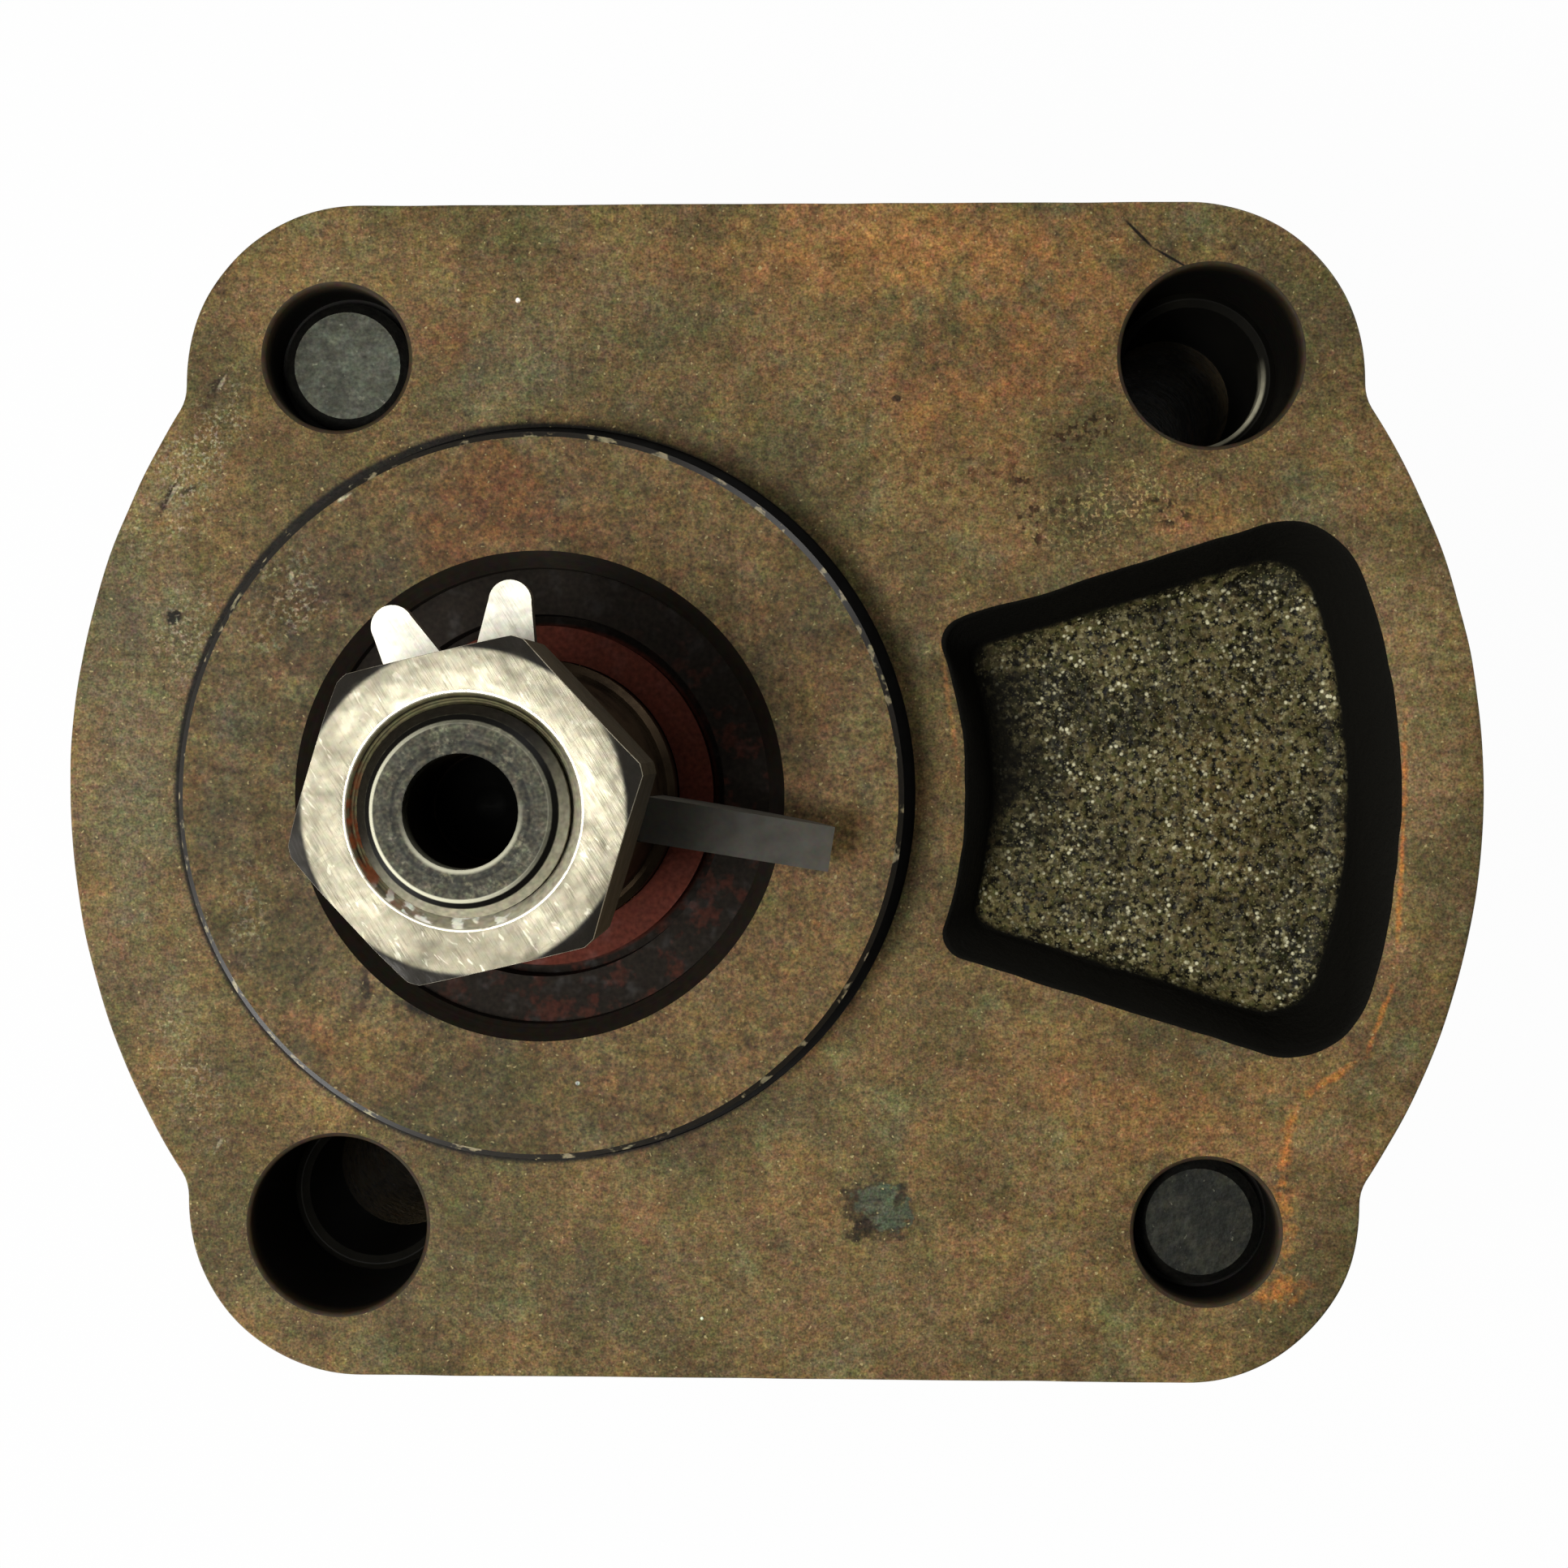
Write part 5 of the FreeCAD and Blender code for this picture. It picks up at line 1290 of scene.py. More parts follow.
@dataclass
class Shell:
    """Mesh in the making: grids and flat panels whose shared rims are joined at the end.

    finishes are in the order of the slots. An edge of more than sharp degrees isn't smoothed.
    """

    name: str
    finishes: list[bpy.types.Material]
    sharp: float = 32.0
    places: list[np.ndarray] = field(default_factory=list)
    faces: list[list[int]] = field(default_factory=list)
    slots: list[int] = field(default_factory=list)
    count: int = 0

    def _add(self, places: np.ndarray, faces: np.ndarray, slot: int) -> None:
        """Store faces and their corners.

        Args:
            places: Corners, one in each row, in millimetres.
            faces: Corners of each face, numbered from 0.
            slot: Number of the finish.
        """
        self.faces += (faces + self.count).tolist()
        self.slots += [int(slot)] * len(faces)
        self.places.append(places)
        self.count += len(places)

    def grid(self, surface: np.ndarray, slot: int = 0) -> None:
        """Add a grid of four-sided faces, whose last column joins the first.

        Args:
            surface: Places by row, column and axis, in millimetres.
            slot: Number of the finish.
        """
        rows, columns = surface.shape[:2]
        index = np.arange(rows * columns).reshape(rows, columns)
        ahead = np.roll(index, -1, axis=1)
        quads = np.stack([index[:-1], ahead[:-1], ahead[1:], index[1:]], axis=-1)
        self._add(surface.reshape(-1, 3), quads.reshape(-1, 4), slot)

    def panel(self, loops: Sequence[np.ndarray], height: float, slot: int = 0) -> None:
        """Add a flat face whose outline and holes are given by loops.

        Args:
            loops: Outline and holes, as points with X and Y.
            height: Height of the face.
            slot: Number of the finish.
        """
        flat = np.concatenate([loop[:, :2] for loop in loops])
        starts = np.cumsum([0] + [len(loop) for loop in loops])
        edges = []
        for start, loop in zip(starts, loops):
            index = start + np.arange(len(loop))
            edges += np.stack([index, np.roll(index, -1)], axis=1).tolist()
        result = delaunay_2d_cdt([Vector(p) for p in flat.tolist()], edges, [], 0, 1e-6)
        spots = np.array([tuple(spot) for spot in result[0]])
        corners = np.array([tuple(face) for face in result[2]])
        kept = inside(spots[corners].mean(axis=1), [loop[:, :2] for loop in loops])
        self._add(at_height(spots, height), corners[kept], slot)

    def build(self, body: str, slot_name: str, *nodes: str) -> bpy.types.Object:
        """Make the object, with joined rims and outward normals.

        Args:
            body: Body that it moves with.
            slot_name: Material slot of the record that its finish belongs to; it is not used.
            *nodes: Nodes that it stands for.

        Returns:
            The new object.
        """
        mesh = bpy.data.meshes.new(self.name)
        mesh.from_pydata((np.concatenate(self.places) * MM).tolist(), [], self.faces)
        for finish in self.finishes:
            mesh.materials.append(finish)
        mesh.polygons.foreach_set("material_index", self.slots)
        work = bmesh.new()
        work.from_mesh(mesh)
        bmesh.ops.remove_doubles(work, verts=work.verts, dist=0.002 * MM)
        bmesh.ops.dissolve_degenerate(work, edges=work.edges, dist=0.001 * MM)
        bmesh.ops.recalc_face_normals(work, faces=work.faces)
        work.to_mesh(mesh)
        work.free()
        mesh.shade_smooth()
        mesh.set_sharp_from_angle(angle=math.radians(self.sharp))
        piece = bpy.data.objects.new(self.name, mesh)
        bpy.context.scene.collection.objects.link(piece)
        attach(piece, body)
        if nodes:
            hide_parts(*nodes)
        LOG.info("piece %s: %d faces, rides %s", self.name, len(mesh.polygons), body)
        return piece


@dataclass(frozen=True)
class FlangeShape:
    """Outline of the castings: a rounded square with a round lobe at its left and right.

    join is the length over which the one passes into the other.
    """

    centre_x: float = 15.875
    half_side: float = 42.8625
    corner: float = 12.7
    lobe_radius: float = 51.575
    join: float = 0.6
    steps: int = 720

    def loop(self) -> np.ndarray:
        """Outline in equal steps, counter-clockwise.

        The square and the lobe are each a distance from the centre by direction; towards the left
        and right the larger counts, with a smooth passage where the two cross.

        Returns:
            Points with X and Y.
        """
        turn = np.linspace(0.0, FULL_TURN, 10 * self.steps, endpoint=False)
        ray = np.stack([np.abs(np.cos(turn)), np.abs(np.sin(turn))], axis=1)
        square = self.half_side / ray.max(axis=1)
        core = self.half_side - self.corner
        ahead = ray.sum(axis=1) * core
        corner = ahead + np.sqrt(np.maximum(ahead**2 - 2 * core**2 + self.corner**2, 0.0))
        rounded = (square[:, None] * ray).min(axis=1) > core
        square = np.where(rounded, corner, square)
        share = np.clip(0.5 + 0.5 * (square - self.lobe_radius) / self.join, 0.0, 1.0)
        joined = self.lobe_radius + (square - self.lobe_radius) * share
        joined += self.join * share * (1 - share)
        reach = np.where(ray[:, 0] > ray[:, 1], joined, square)
        signed = np.stack([np.cos(turn), np.sin(turn)], axis=1)
        return even_steps(signed * reach[:, None] + (self.centre_x, 0.0), self.steps)


@dataclass(frozen=True)
class PocketShape:
    """Outline of the lightening pocket: two arcs joined by flared sides.

    The inner arc is struck from the drive axis and the outer one from outer_x. Each side leans by
    flare, and where X is gauge_x it stands half_height above or below the line on which Y is
    offset. middle is the point to which the floor's rings shrink.
    """

    inner_radius: float = 30.3
    outer_radius: float = 45.5
    outer_x: float = 15.875
    flare: float = math.radians(17.2)
    gauge_x: float = 35.875
    half_height: float = 14.1
    offset: float = 0.5
    outer_corner: float = 5.8
    inner_corner: float = 1.8
    middle: tuple[float, float] = (46.5, 0.5)

    def _corner(self, side: int, shrink: float, outer: bool) -> tuple[np.ndarray, float]:
        """Arc of a corner: it touches the side and the inner or the outer arc.

        Args:
            side: Sign of the corner's Y.
            shrink: How far inside the mouth the outline lies, in millimetres.
            outer: Whether the corner is on the outer arc.

        Returns:
            Centre and radius of the arc.
        """
        radius = max(self.outer_corner - shrink, 2.5) if outer else self.inner_corner
        hub_x = self.outer_x if outer else 0.0
        reach = self.outer_radius - shrink - radius if outer else self.inner_radius + shrink + radius
        run = np.array([math.cos(self.flare), side * math.sin(self.flare)])
        inward = np.array([math.sin(self.flare), -side * math.cos(self.flare)])
        start = np.array([self.gauge_x, self.offset + side * self.half_height])
        start = start + inward * (shrink + radius) - (hub_x, 0.0)
        ahead = start @ run
        travel = -ahead + math.sqrt(ahead**2 - start @ start + reach**2)
        return start + run * travel + (hub_x, 0.0), radius

    def loop(self, shrink: float) -> np.ndarray:
        """Outline moved inwards, counter-clockwise, with as many points each time.

        Args:
            shrink: How far inside the mouth it lies, in millimetres.

        Returns:
            Points with X and Y.
        """
        lean = math.pi / 2 + self.flare
        corners = {
            (side, outer): self._corner(side, shrink, outer)
            for side in (-1, 1) for outer in (False, True)
        }
        away = {key: math.atan2(c[0][1], c[0][0] - (self.outer_x if key[1] else 0.0))
                for key, c in corners.items()}
        spans = (
            ((-1, True), -lean, away[-1, True], 24), ((1, True), away[1, True], lean, 24),
            ((1, False), lean, math.pi + away[1, False], 12),
            ((-1, False), -math.pi + away[-1, False], -lean, 12),
        )
        arcs = {}
        for key, first, last, steps in spans:
            middle, radius = corners[key]
            turn = np.linspace(first, last, steps)
            arcs[key] = middle + radius * np.stack([np.cos(turn), np.sin(turn)], axis=1)
        turn = np.linspace(away[-1, True], away[1, True], 90)[1:-1]
        outer = np.stack([np.cos(turn), np.sin(turn)], axis=1) * (self.outer_radius - shrink)
        turn = np.linspace(away[1, False], away[-1, False], 64)[1:-1]
        inner = np.stack([np.cos(turn), np.sin(turn)], axis=1) * (self.inner_radius + shrink)
        share = np.linspace(0.0, 1.0, 60)[1:-1, None]
        lower = arcs[-1, False][-1] * (1 - share) + arcs[-1, True][0] * share
        upper = arcs[1, True][-1] * (1 - share) + arcs[1, False][0] * share
        return np.concatenate([
            arcs[-1, True], outer + (self.outer_x, 0.0), arcs[1, True], upper,
            arcs[1, False], inner, arcs[-1, False], lower,
        ])


@dataclass
class FrontCover:
    """Front casting: milled face, turned pilot, lightening pocket, four holes and cast sides.

    The relief is the groove at the pilot's foot; mouth_radius, recess and passage belong to the
    seal's seat. edge_wear is a share of edge. The wall of the pocket takes wall_share of the
    floor's grain, and its noises have died out at wall_foot above the floor.
    """

    outline: FlangeShape = field(default_factory=FlangeShape)
    pocket: PocketShape = field(default_factory=PocketShape)
    thickness: float = 18.0
    edge: float = 0.3
    edge_wear: Grain = Grain(0.6, 3.5, 7)
    edge_rows: int = 6
    back_chamfer: float = 0.5
    side_step: float = 0.45
    side_grain: Grain = Grain(0.14, 2.4, 3, 3)
    pilot_radius: float = 25.4
    pilot_height: float = 7.94
    pilot_chamfer: float = 0.4
    relief_radius: float = 25.1
    relief_outer: float = 26.7
    relief_shift: float = -0.3
    relief_half: float = 0.65
    mouth_radius: float = 17.1
    recess_radius: float = 16.0
    recess_floor: float = -2.46
    passage_radius: float = 11.0
    pocket_depth: float = 9.0
    pocket_draft: float = math.radians(14.0)
    floor_round: float = 2.1
    floor_rows: int = 74
    floor_grain: Grain = Grain(0.2, 1.15, 23, 3)
    floor_pits: Grain = Grain(0.1, 0.55, 31)
    floor_lift: float = 0.03
    wall_wave: Grain = Grain(0.16, 4.5, 21)
    wall_ripple: Grain = Grain(0.05, 1.6, 22)
    wall_share: float = 0.35
    wall_foot: float = 0.4
    mouth_break: float = 0.2
    clamp_holes: tuple[tuple[float, float], ...] = ((-15.875, 31.75), (47.625, -31.75))
    mounting_holes: tuple[tuple[float, float], ...] = ((47.625, 31.75), (-15.875, -31.75))
    clamp_radius: float = 5.25
    clamp_thread_radius: float = 4.8
    clamp_counterbore: float = 5.5
    mounting_radius: float = 6.5
    turned_steps: int = 240

    def _sides(self, shell: Shell) -> tuple[np.ndarray, np.ndarray]:
        """Add the worn edge and the cast sides.

        The edge is a quarter round whose size follows a noise along the outline. The sides sink
        in by a layered noise, which sets in from 0.5 mm to 1.5 mm below the face.

        Args:
            shell: Shell that they go into.

        Returns:
            Rims of the front and the back face.
        """
        loop = self.outline.loop()
        worn = self.edge * (1 + self.edge_wear.at(at_height(loop, 0.0)))
        bend = np.linspace(0.0, math.pi / 2, self.edge_rows)
        rows = [at_height(inset(loop, worn * (1 - math.sin(b))), -worn * (1 - math.cos(b))) for b in bend]
        heights = np.arange(-2 * self.edge, -self.thickness + self.back_chamfer, -self.side_step)
        rows += [at_height(loop, h) for h in heights]
        surface = np.stack(rows)
        depth = self.side_grain.depth + self.side_grain.at(surface)
        fade = np.clip(-surface[..., 2] - 0.5, 0.0, 1.0)
        surface += surface_normals(surface) * (depth * fade)[..., None]
        shell.grid(surface[: self.edge_rows], CoverPart.FACE)
        shell.grid(surface[self.edge_rows - 1 :], CoverPart.SKIN)
        bottom = surface[-1, :, :2]
        low = at_height(bottom, -self.thickness + self.back_chamfer)
        back = at_height(inset(loop, self.back_chamfer + 2 * self.side_grain.depth), -self.thickness)
        shell.grid(np.stack([surface[-1], low, back]), CoverPart.SKIN)
        return surface[0, :, :2], back[:, :2]

    def _pocket(self, shell: Shell) -> np.ndarray:
        """Add the pocket's wavy walls and rough floor.

        The wall leans in by its draft and turns into the floor through a round foot, and the floor
        shrinks ring by ring to its middle. A long and a short noise push the wall in and out, and
        a grain lifts and sinks the floor. Just above the floor the one gives way to the other.

        Args:
            shell: Shell that they go into.

        Returns:
            Rim of the mouth.
        """
        slope = math.tan(self.pocket_draft)
        mouth, bow = self.mouth_break, self.floor_round
        foot = self.pocket_depth - bow
        bend = np.linspace(0.0, math.pi / 2, 4)[:-1]
        profile = [(-mouth * (1 - math.sin(b)), mouth * (1 - math.cos(b))) for b in bend]
        profile += [(slope * d, d) for d in np.linspace(mouth, foot, 24)]
        bow_x = slope * foot + bow
        bend = np.linspace(0.0, math.pi / 2, 9)[1:]
        profile += [(bow_x - bow * math.cos(b), foot + bow * math.sin(b)) for b in bend]
        wall = np.stack([at_height(self.pocket.loop(s), -d) for s, d in profile])
        rim = wall[-1]
        middle = np.array([*self.pocket.middle, rim[0, 2]])
        shares = np.linspace(1.0, 0.0, self.floor_rows)[1:, None, None]
        whole = np.concatenate([wall, middle + (rim - middle)[None] * shares])
        depth = -whole[..., 2]
        on_wall = np.clip(self.pocket_depth - self.wall_foot - depth, 0.0, 1.0)
        below_mouth = np.clip(depth / 2.5, 0.0, 1.0)
        waves = self.wall_wave.at(whole) + self.wall_ripple.at(whole)
        grains = self.floor_grain.at(whole)
        inward = np.array([*self.pocket.middle, 0.0]) - whole
        inward[..., 2] = 0.0
        inward /= np.maximum(np.linalg.norm(inward, axis=2, keepdims=True), 1.0)
        push = (waves + self.wall_share * grains * below_mouth) * on_wall
        whole = whole + inward * push[..., None]
        rough = self.floor_lift + grains + self.floor_pits.at(whole)
        whole[..., 2] += rough * (1 - on_wall)
        shell.grid(whole, CoverPart.POCKET)
        return whole[0, :, :2]

    def _pilot(self, shell: Shell) -> np.ndarray:
        """Add relief groove, pilot and seal recess.

        Args:
            shell: Shell that they go into.

        Returns:
            Rim of the groove.
        """
        low, high = -self.relief_half, self.relief_half
        top, wall = self.pilot_height, self.pilot_radius
        lead = self.mouth_radius - self.recess_radius
        groove = [(self.relief_outer, 0.0), (self.relief_outer, low), (self.relief_radius, low)]
        groove += [(self.relief_radius, high), (wall, high)]
        side = [(wall, high), (wall, top - self.pilot_chamfer)]
        chamfer = [(wall, top - self.pilot_chamfer), (wall - self.pilot_chamfer, top)]
        pilot = [chamfer[-1], (self.mouth_radius, top)]
        recess = [(self.mouth_radius, top), (self.recess_radius, top - lead)]
        recess += [(self.recess_radius, self.recess_floor), (self.passage_radius, self.recess_floor)]
        recess += [(self.passage_radius, -self.thickness)]
        turned = {
            CoverPart.GROOVE: groove, CoverPart.PILOT_SIDE: side, CoverPart.PILOT_EDGE: chamfer,
            CoverPart.PILOT: pilot, CoverPart.RECESS: recess,
        }
        for part, profile in turned.items():
            surface = lathe(along(profile, 1.0), steps=self.turned_steps)
            if part is CoverPart.GROOVE:
                outer = np.linalg.norm(surface[..., :2], axis=2) > self.relief_outer - 0.01
                surface[..., 0] += self.relief_shift * outer
            shell.grid(surface, part)
        return circle(self.relief_shift, 0.0, self.relief_outer, self.turned_steps)

    def _hole(self, shell: Shell, x: float, y: float, profile: list[tuple[float, float]]) -> np.ndarray:
        """Add a hole's wall with a broken edge.

        Args:
            shell: Shell that it goes into.
            x: Place of the hole's axis.
            y: Place of the hole's axis.
            profile: Radius and height of the wall's corners, from the top down.

        Returns:
            Rim of the mouth.
        """
        radius = profile[0][0]
        bend = np.linspace(0.0, math.pi / 2, 4)[:-1]
        mouth = [
            (radius + self.edge * (1 - math.sin(b)), -self.edge * (1 - math.cos(b))) for b in bend
        ]
        whole = mouth + [(radius, -self.edge)] + profile[1:]
        shell.grid(lathe(along(whole, 1.5), x, y), CoverPart.HOLE)
        return circle(x, y, radius + self.edge)

    def build(self) -> bpy.types.Object:
        """Make the casting.

        Returns:
            The new object.
        """
        finishes: dict[CoverPart, Finish] = {
            # The face has painted sparkle and glints, and a painted shade round the pilot's foot.
            CoverPart.FACE: MachinedCasting("cover_face", FLANGE_MARKS + RUST_TRACK, ring=(-0.85, 26.95)),
            CoverPart.SKIN: CastSkin("cover_skin"),
            CoverPart.POCKET: OiledPocketWithPaintedLight("oiled_pocket_with_painted_light"),
            CoverPart.PILOT: MachinedCasting("pilot_face", PILOT_MARKS, level=0.73),
            # The relief groove is painted near black as shade.
            CoverPart.GROOVE: PlainStuff("groove_shade", srgb(20, 17, 12), 0.8),
            CoverPart.HOLE: DarkBore("dark_bore"),
            # The recess is painted darker at its mouth as shade.
            CoverPart.RECESS: DarkBore("seal_recess", mouth=srgb(27, 22, 16)),
            # The pilot's edge has a painted highlight and painted shade.
            CoverPart.PILOT_EDGE: WornEdgeAndHighlight("pilot_edge"),
            CoverPart.PILOT_SIDE: MachinedCasting("pilot_side", (), srgb(84, 72, 50), srgb(50, 44, 31)),
        }
        shell = Shell("front_casting_surface", [finishes[part].build() for part in CoverPart])
        front_rim, back_rim = self._sides(shell)
        mouths, ends = [self._pilot(shell), self._pocket(shell)], []
        for x, y in self.clamp_holes:
            step = -self.clamp_counterbore
            profile = [(self.clamp_radius, 0.0), (self.clamp_radius, step)]
            profile += [(self.clamp_thread_radius, step), (self.clamp_thread_radius, -self.thickness)]
            mouths.append(self._hole(shell, x, y, profile))
            ends.append(circle(x, y, self.clamp_thread_radius))
        for x, y in self.mounting_holes:
            profile = [(self.mounting_radius, 0.0), (self.mounting_radius, -self.thickness)]
            mouths.append(self._hole(shell, x, y, profile))
            ends.append(circle(x, y, self.mounting_radius))
        ends.append(circle(0.0, 0.0, self.passage_radius, self.turned_steps))
        shell.panel([front_rim, *mouths], 0.0, CoverPart.FACE)
        shell.panel([back_rim, *ends], -self.thickness, CoverPart.SKIN)
        return shell.build("housing", "front_casting", "front_cover")


@dataclass
class HexNut:
    """Nut on the shaft thread, with a crowned, worn face and a countersunk thread.

    The face has sunk by dome at dome_reach beyond its lip. Past the radius crown it falls away by
    crown_slope, which sets in over about crown_ease. The flanks stand swell outside the hexagon.
    """

    across_flats: float = 18.0
    corner_radius: float = 10.2
    low: float = 29.24
    high: float = 39.92
    turn: float = math.radians(13.2)
    crown: float = 9.2
    crown_slope: float = math.tan(math.radians(30.0))
    sink_radius: float = 6.62
    thread_radius: float = 6.02
    sink_depth: float = 1.0
    lip: float = 0.16
    dome: float = 0.1
    dome_reach: float = 2.5
    crown_ease: float = 0.15
    swell: float = 0.03
    steps: int = 360

    def _hexagon(self) -> tuple[np.ndarray, np.ndarray]:
        """Hexagon whose corners are turned to corner_radius, as a radius by direction.

        Returns:
            Direction of each column as X and Y, and the hexagon's radius there.
        """
        angle = np.linspace(0.0, FULL_TURN, self.steps, endpoint=False)
        within = (angle % (math.pi / 3)) - math.pi / 6
        hexagon = np.minimum(self.across_flats / 2 / np.cos(within), self.corner_radius)
        turned = angle + self.turn
        return np.stack([np.cos(turned), np.sin(turned)], axis=1), hexagon

    def build(self) -> bpy.types.Object:
        """Make the nut, of rings that pass from the round thread to the hexagon.

        The face sags with the square of the way out, and past the crown it falls away with a
        soft start. The same slope cuts the corners of the lower face.

        Returns:
            The new object.
        """
        ring, hexagon = self._hexagon()
        inner = self.sink_radius + self.lip
        out = np.linspace(0.0, 1.0, 13)[:, None] ** 0.7
        radius = inner + (hexagon - inner) * out
        past = np.maximum(radius - self.crown, 0.0)
        sag = self.dome * ((radius - inner) / self.dome_reach) ** 2
        drop = sag + self.crown_slope * past**2 / (past + self.crown_ease)
        face = [(r, self.high - d) for r, d in zip(radius, drop)]
        edge = self.high - drop[-1]
        flat = hexagon + self.swell
        crown_edge = [face[-1], (hexagon + 0.02, edge - 0.06), (flat, edge - 0.2)]
        lift = np.maximum(hexagon - self.crown, 0.0) * self.crown_slope
        flank = [crown_edge[-1], (flat, self.low + 0.3 + lift)]
        flank += [(hexagon - 0.15, self.low + lift), (np.minimum(hexagon - 0.4, self.crown), self.low)]
        flank += [(self.thread_radius, self.low), (self.thread_radius, self.high - self.sink_depth)]
        sink = [flank[-1], (self.sink_radius, self.high - 0.12)]
        lip = [sink[-1], (self.sink_radius + 0.05, self.high - 0.03), face[0]]
        finishes: dict[NutPart, Finish] = {
            NutPart.FACE: WornZincAndPaintedLight("worn_zinc_and_painted_light", crown=9.14),
            NutPart.EDGE: PaintedEdgeHighlight("edge_highlight"),
            NutPart.SINK: CountersunkSteel("polished_sink"),
            NutPart.FLANK: Steel("dark_flank", srgb(54, 49, 39), srgb(30, 27, 21), 0.5, 0.42, 0.7),
        }
        shell = Shell("nut_surface", [finishes[part].build() for part in NutPart], 24.0)
        stretches = (
            (NutPart.FLANK, flank), (NutPart.SINK, sink), (NutPart.EDGE, lip), (NutPart.FACE, face),
            (NutPart.EDGE, crown_edge),
        )
        for part, rows in stretches:
            rims = [at_height(ring * np.reshape(r, (-1, 1)), z) for r, z in rows]
            shell.grid(np.stack(rims), part)
        return shell.build("drive_shaft", "nut_zinc", "shaft_nut")


@dataclass
class PortThread:
    """Thread in one of the ports, whose axis runs along Y through a flat side of the body.

    height and centre_x place the axis, and mouth is how far the flat side stands from the middle.
    The crests stand depth inside the radius, and length is how far in the thread runs. Its roots
    stand play inside the bore, and its back lies backing behind the bore's wall.
    """

    name: str
    height: float
    radius: float
    pitch: float
    mouth: float
    length: float
    side: PortSide
    centre_x: float = 15.875
    depth: float = 0.75
    play: float = 0.03
    backing: float = 0.3
    steps: int = 120

    def build(self, finish: bpy.types.Material) -> bpy.types.Object:
        """Make the thread.

        Its radius follows a wave of turn plus travel, which rises and falls evenly and has flat
        crests. The wave dies out over one pitch at either end.

        Args:
            finish: Material of the thread.

        Returns:
            The new object.
        """
        turn = np.linspace(0.0, FULL_TURN, self.steps, endpoint=False)
        travel = np.linspace(0.0, self.length, math.ceil(self.length / self.pitch * 12))
        phase = (travel[:, None] / self.pitch + turn[None] / FULL_TURN) % 1.0
        crest = np.clip(1.25 - 2.5 * np.abs(phase - 0.5), 0.0, 1.0)
        fade = np.clip(travel / self.pitch, 0.0, 1.0)
        fade = fade * np.clip((self.length - travel) / self.pitch, 0.0, 1.0)
        radius = self.radius - self.play - self.depth * crest * fade[:, None]
        across = self.centre_x + radius * np.cos(turn)
        upward = self.height + radius * np.sin(turn)
        inward = np.broadcast_to((self.side * (self.mouth - travel))[:, None], radius.shape)
        surface = np.stack([across, inward, upward], axis=-1)
        back = surface.copy()
        back[..., 0] = self.centre_x + (self.radius + self.backing) * np.cos(turn)
        back[..., 2] = self.height + (self.radius + self.backing) * np.sin(turn)
        shell = Shell(self.name, [finish], 50.0)
        whole = np.concatenate([surface, back[::-1], surface[:1]])
        shell.grid(whole)
        return shell.build("housing", "body_casting")


@dataclass(frozen=True)
class Lamp:
    """Square soft lamp that points at the pump.

    spot is its place and size its side, in millimetres, and power is in watts.
    """

    name: str
    spot: tuple[float, float, float]
    size: float
    power: float

    def hang(self) -> None:
        """Make the lamp."""
        data = bpy.data.lights.new(self.name, "AREA")
        data.energy = self.power
        data.size = self.size * MM
        lamp = bpy.data.objects.new(self.name, data)
        bpy.context.scene.collection.objects.link(lamp)
        lamp.location = Vector(self.spot) * MM
        target = (CAD_BOX[0] + CAD_BOX[1]) / 2
        lamp.rotation_euler = (target - lamp.location).to_track_quat("-Z", "Y").to_euler()


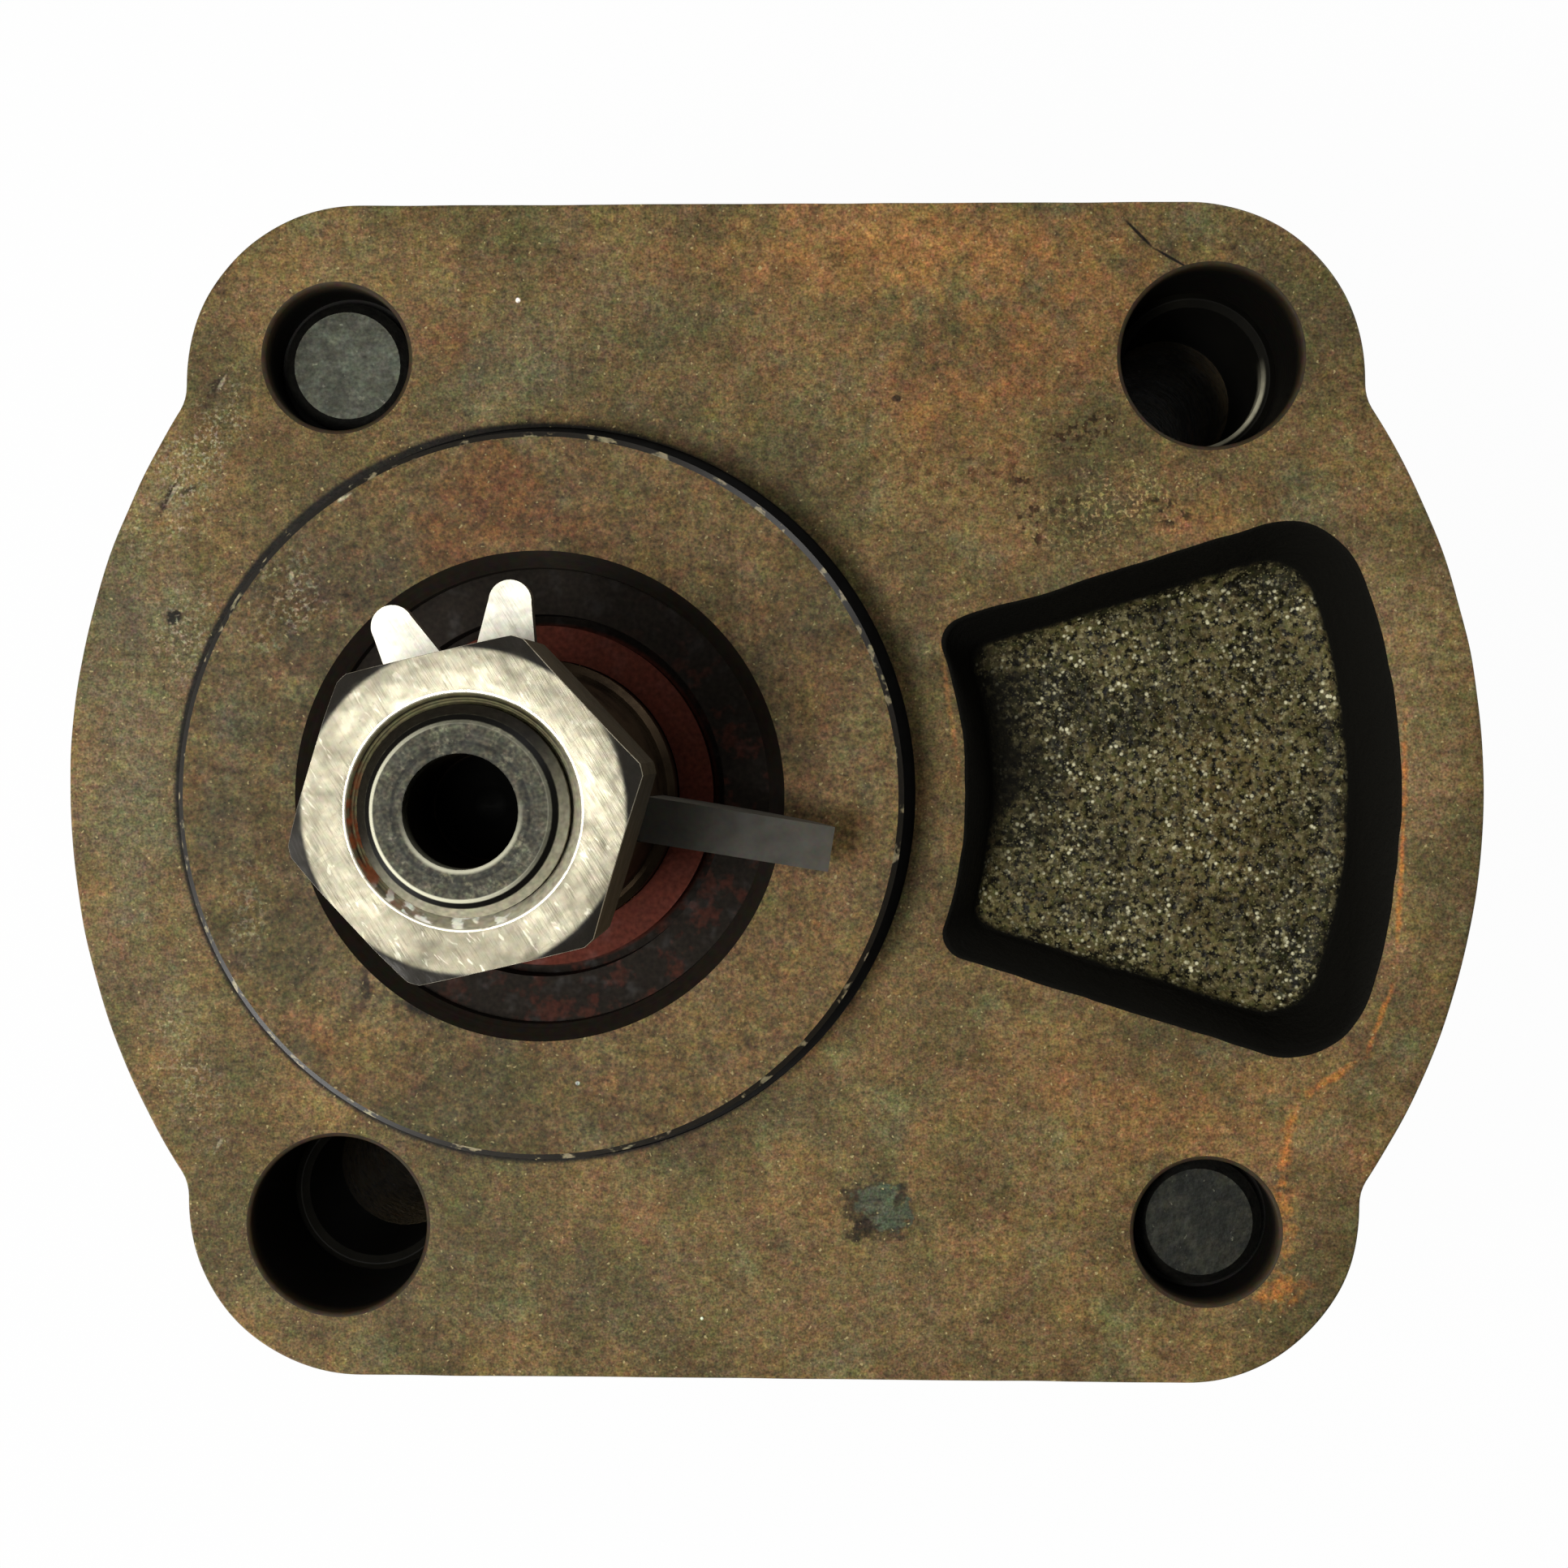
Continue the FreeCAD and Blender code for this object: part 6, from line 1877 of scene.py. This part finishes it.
@dataclass
class Studio:
    """Camera at the photograph's place, pale floor, soft lamps and a plain world.

    eye is the camera's place, look and upward are its directions, and sight is how far it sees.
    floor_glow is the floor's share of plain white towards the camera, and world_level the strength
    of the world's light.
    """

    eye: tuple[float, float, float] = (21.7, 4.224, 170.081)
    look: tuple[float, float, float] = (-0.02860442, -0.02037034, -0.99938323)
    upward: tuple[float, float, float] = (-0.00275595, 0.99979014, -0.02029975)
    lens: float = 53.665
    sensor: float = 36.0
    sight: float = 10000.0
    floor_size: float = 4000.0
    floor_glow: float = 0.97
    world_level: float = 0.17
    lamps: tuple[Lamp, ...] = (
        Lamp("key_lamp", (-28.0, -18.0, 185.0), 36.0, 0.235),
        Lamp("fill_lamp", (-200.0, 40.0, 420.0), 400.0, 0.7),
        Lamp("side_lamp", (-420.0, -360.0, 40.0), 320.0, 3.0),
        Lamp("rear_lamp", (360.0, 420.0, 0.0), 320.0, 1.6),
    )

    def aim_camera(self) -> None:
        """Make the camera and set it as the scene's."""
        data = bpy.data.cameras.new("photo_camera")
        data.lens = self.lens
        data.sensor_width = self.sensor
        data.clip_start = MM
        data.clip_end = self.sight * MM
        camera = bpy.data.objects.new("photo_camera", data)
        bpy.context.scene.collection.objects.link(camera)
        forward = Vector(self.look).normalized()
        right = forward.cross(Vector(self.upward)).normalized()
        turned = Matrix((right, right.cross(forward), -forward)).transposed().to_4x4()
        camera.matrix_world = Matrix.Translation(Vector(self.eye) * MM) @ turned
        bpy.context.scene.camera = camera

    def lay_floor(self) -> None:
        """Pale floor under the pump, white to the camera but for the pump's shadow."""
        foot = CAD_BOX[0].z
        half = self.floor_size * MM / 2
        mesh = bpy.data.meshes.new("floor")
        corners = [(-half, -half, foot), (half, -half, foot), (half, half, foot), (-half, half, foot)]
        mesh.from_pydata(corners, [], [(0, 1, 2, 3)])
        floor = bpy.data.objects.new("floor", mesh)
        bpy.context.scene.collection.objects.link(floor)
        mesh.materials.append(self.floor_finish())

    def floor_finish(self) -> bpy.types.Material:
        """Matt white that mostly glows white towards the camera.

        Returns:
            The finished material.
        """
        shader = Shader("floor_paint")
        self_lit = shader.add("ShaderNodeEmission", {"Color": (1.0, 1.0, 1.0, 1.0), "Strength": 1.0})
        matt = shader.add("ShaderNodeBsdfDiffuse", {"Color": srgb(238, 238, 236)})
        rays = shader.add("ShaderNodeLightPath").outputs
        share = shader.times(rays["Is Camera Ray"], self.floor_glow)
        mixed = shader.add("ShaderNodeMixShader", {0: share, 1: matt.outputs[0], 2: self_lit.outputs[0]})
        out = shader.tree.nodes["Material Output"]
        shader.tree.links.new(mixed.outputs[0], out.inputs["Surface"])
        return shader.material

    def light_world(self) -> None:
        """Grey light from all round, which the camera sees as white."""
        world = bpy.data.worlds.new("studio_world")
        bpy.context.scene.world = world
        world.use_nodes = True
        tree = world.node_tree
        back = tree.nodes["Background"]
        rays = tree.nodes.new("ShaderNodeLightPath").outputs
        level = tree.nodes.new("ShaderNodeMapRange")
        level.inputs["To Min"].default_value = self.world_level
        level.inputs["To Max"].default_value = 1.0
        tree.links.new(rays["Is Camera Ray"], level.inputs["Value"])
        tree.links.new(level.outputs["Result"], back.inputs["Strength"])
        back.inputs["Color"].default_value = (1.0, 1.0, 1.0, 1.0)

    def set_up(self) -> None:
        """Camera, floor, world and lamps."""
        bpy.context.scene.view_settings.view_transform = "Standard"
        self.aim_camera()
        self.lay_floor()
        self.light_world()
        for lamp in self.lamps:
            lamp.hang()


class NodeFinishes:
    """Finish of each node that shows as it comes from the frame."""

    def __init__(self) -> None:
        """Choose the finishes, and name the nodes that take each.

        Two nodes, front_cover and shaft_nut, are replaced by new pieces and don't show.
        """
        ground = Steel("ground_steel", srgb(150, 147, 138), srgb(74, 66, 52), 0.5)
        dark = Steel("oiled_steel", srgb(92, 93, 79), srgb(46, 44, 36), 0.6, 0.5, 0.45)
        sleeve = SleeveDowel("sleeve_steel")
        bright = Steel("spring_wire", srgb(176, 174, 164), srgb(96, 88, 70))
        alloy = PlainStuff("bearing_alloy", srgb(196, 196, 192), 0.34, 1.0)
        bronze = PlainStuff("bush_bronze", srgb(176, 130, 78), 0.3, 1.0)
        black = PlainStuff("nitrile_rubber", srgb(28, 28, 28), 0.45)
        nylon = PlainStuff("nylon", srgb(206, 198, 172), 0.4)
        self.by_node: dict[str, Finish] = {
            "front_cover": MachinedCasting("plain_face"),
            "pump_body": CastSkin("body_skin"),
            "rear_cover": CastSkin("rear_skin", srgb(106, 92, 67), srgb(70, 61, 44)),
            "drive_gear_shaft": ShaftSteel("shaft_steel"),
            "driven_gear_shaft": ground,
            "front_sleeve_dowels": sleeve,
            "rear_sleeve_dowels": sleeve,
            "shaft_seal_lip": SealRubber("seal_rubber"),
            "shaft_seal_case": dark,
            "seal_garter_spring": bright,
            "clamp_bolts": BoltEnds("bolt_ends"),
            "clamp_bolt_washers": dark,
            "shaft_nut": WornZincAndPaintedLight("plain_zinc"),
            "tab_washer": WornZincAndPaintedLight("washer_zinc", srgb(222, 218, 200), srgb(186, 181, 160), metallic=0.2),
            "woodruff_key": Steel("key_steel", srgb(56, 52, 41), srgb(36, 34, 26), 0.5, 0.66, 0.12),
        }
        for end in ("front", "rear"):
            for shaft in ("drive", "driven"):
                self.by_node[f"{end}_bearing_block_{shaft}"] = alloy
                self.by_node[f"{end}_bush_{shaft}"] = bronze
            self.by_node[f"{end}_body_seal"] = black
            self.by_node[f"{end}_balance_seal"] = black
            self.by_node[f"{end}_backup_ring"] = nylon

    def apply(self) -> None:
        """Put its finish on every node of the frame."""
        built: dict[str, bpy.types.Material] = {}
        for name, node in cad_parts.items():
            finish = self.by_node[name]
            if finish.name not in built:
                built[finish.name] = finish.build()
            if node.data.materials:
                for index in range(len(node.data.materials)):
                    node.data.materials[index] = built[finish.name]
            else:
                node.data.materials.append(built[finish.name])
            LOG.info("node %s has finish %s", name, finish.name)


def main() -> None:
    """Set the studio up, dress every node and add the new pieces."""
    logging.basicConfig(level=logging.INFO, format="%(name)s: %(message)s")
    Studio().set_up()
    NodeFinishes().apply()
    FrontCover().build()
    HexNut().build()
    cut = Steel("cut_thread", srgb(96, 88, 70), srgb(44, 37, 26), 0.6, 0.42, 0.5).build()
    PortThread("inlet_thread", -47.05, 12.06, 1.814, 42.2, 16.4, PortSide.INLET).build(cut)
    PortThread("outlet_thread", -47.05, 9.315, 1.814, 42.2, 14.4, PortSide.OUTLET).build(cut)


if __name__ == "__main__":
    main()
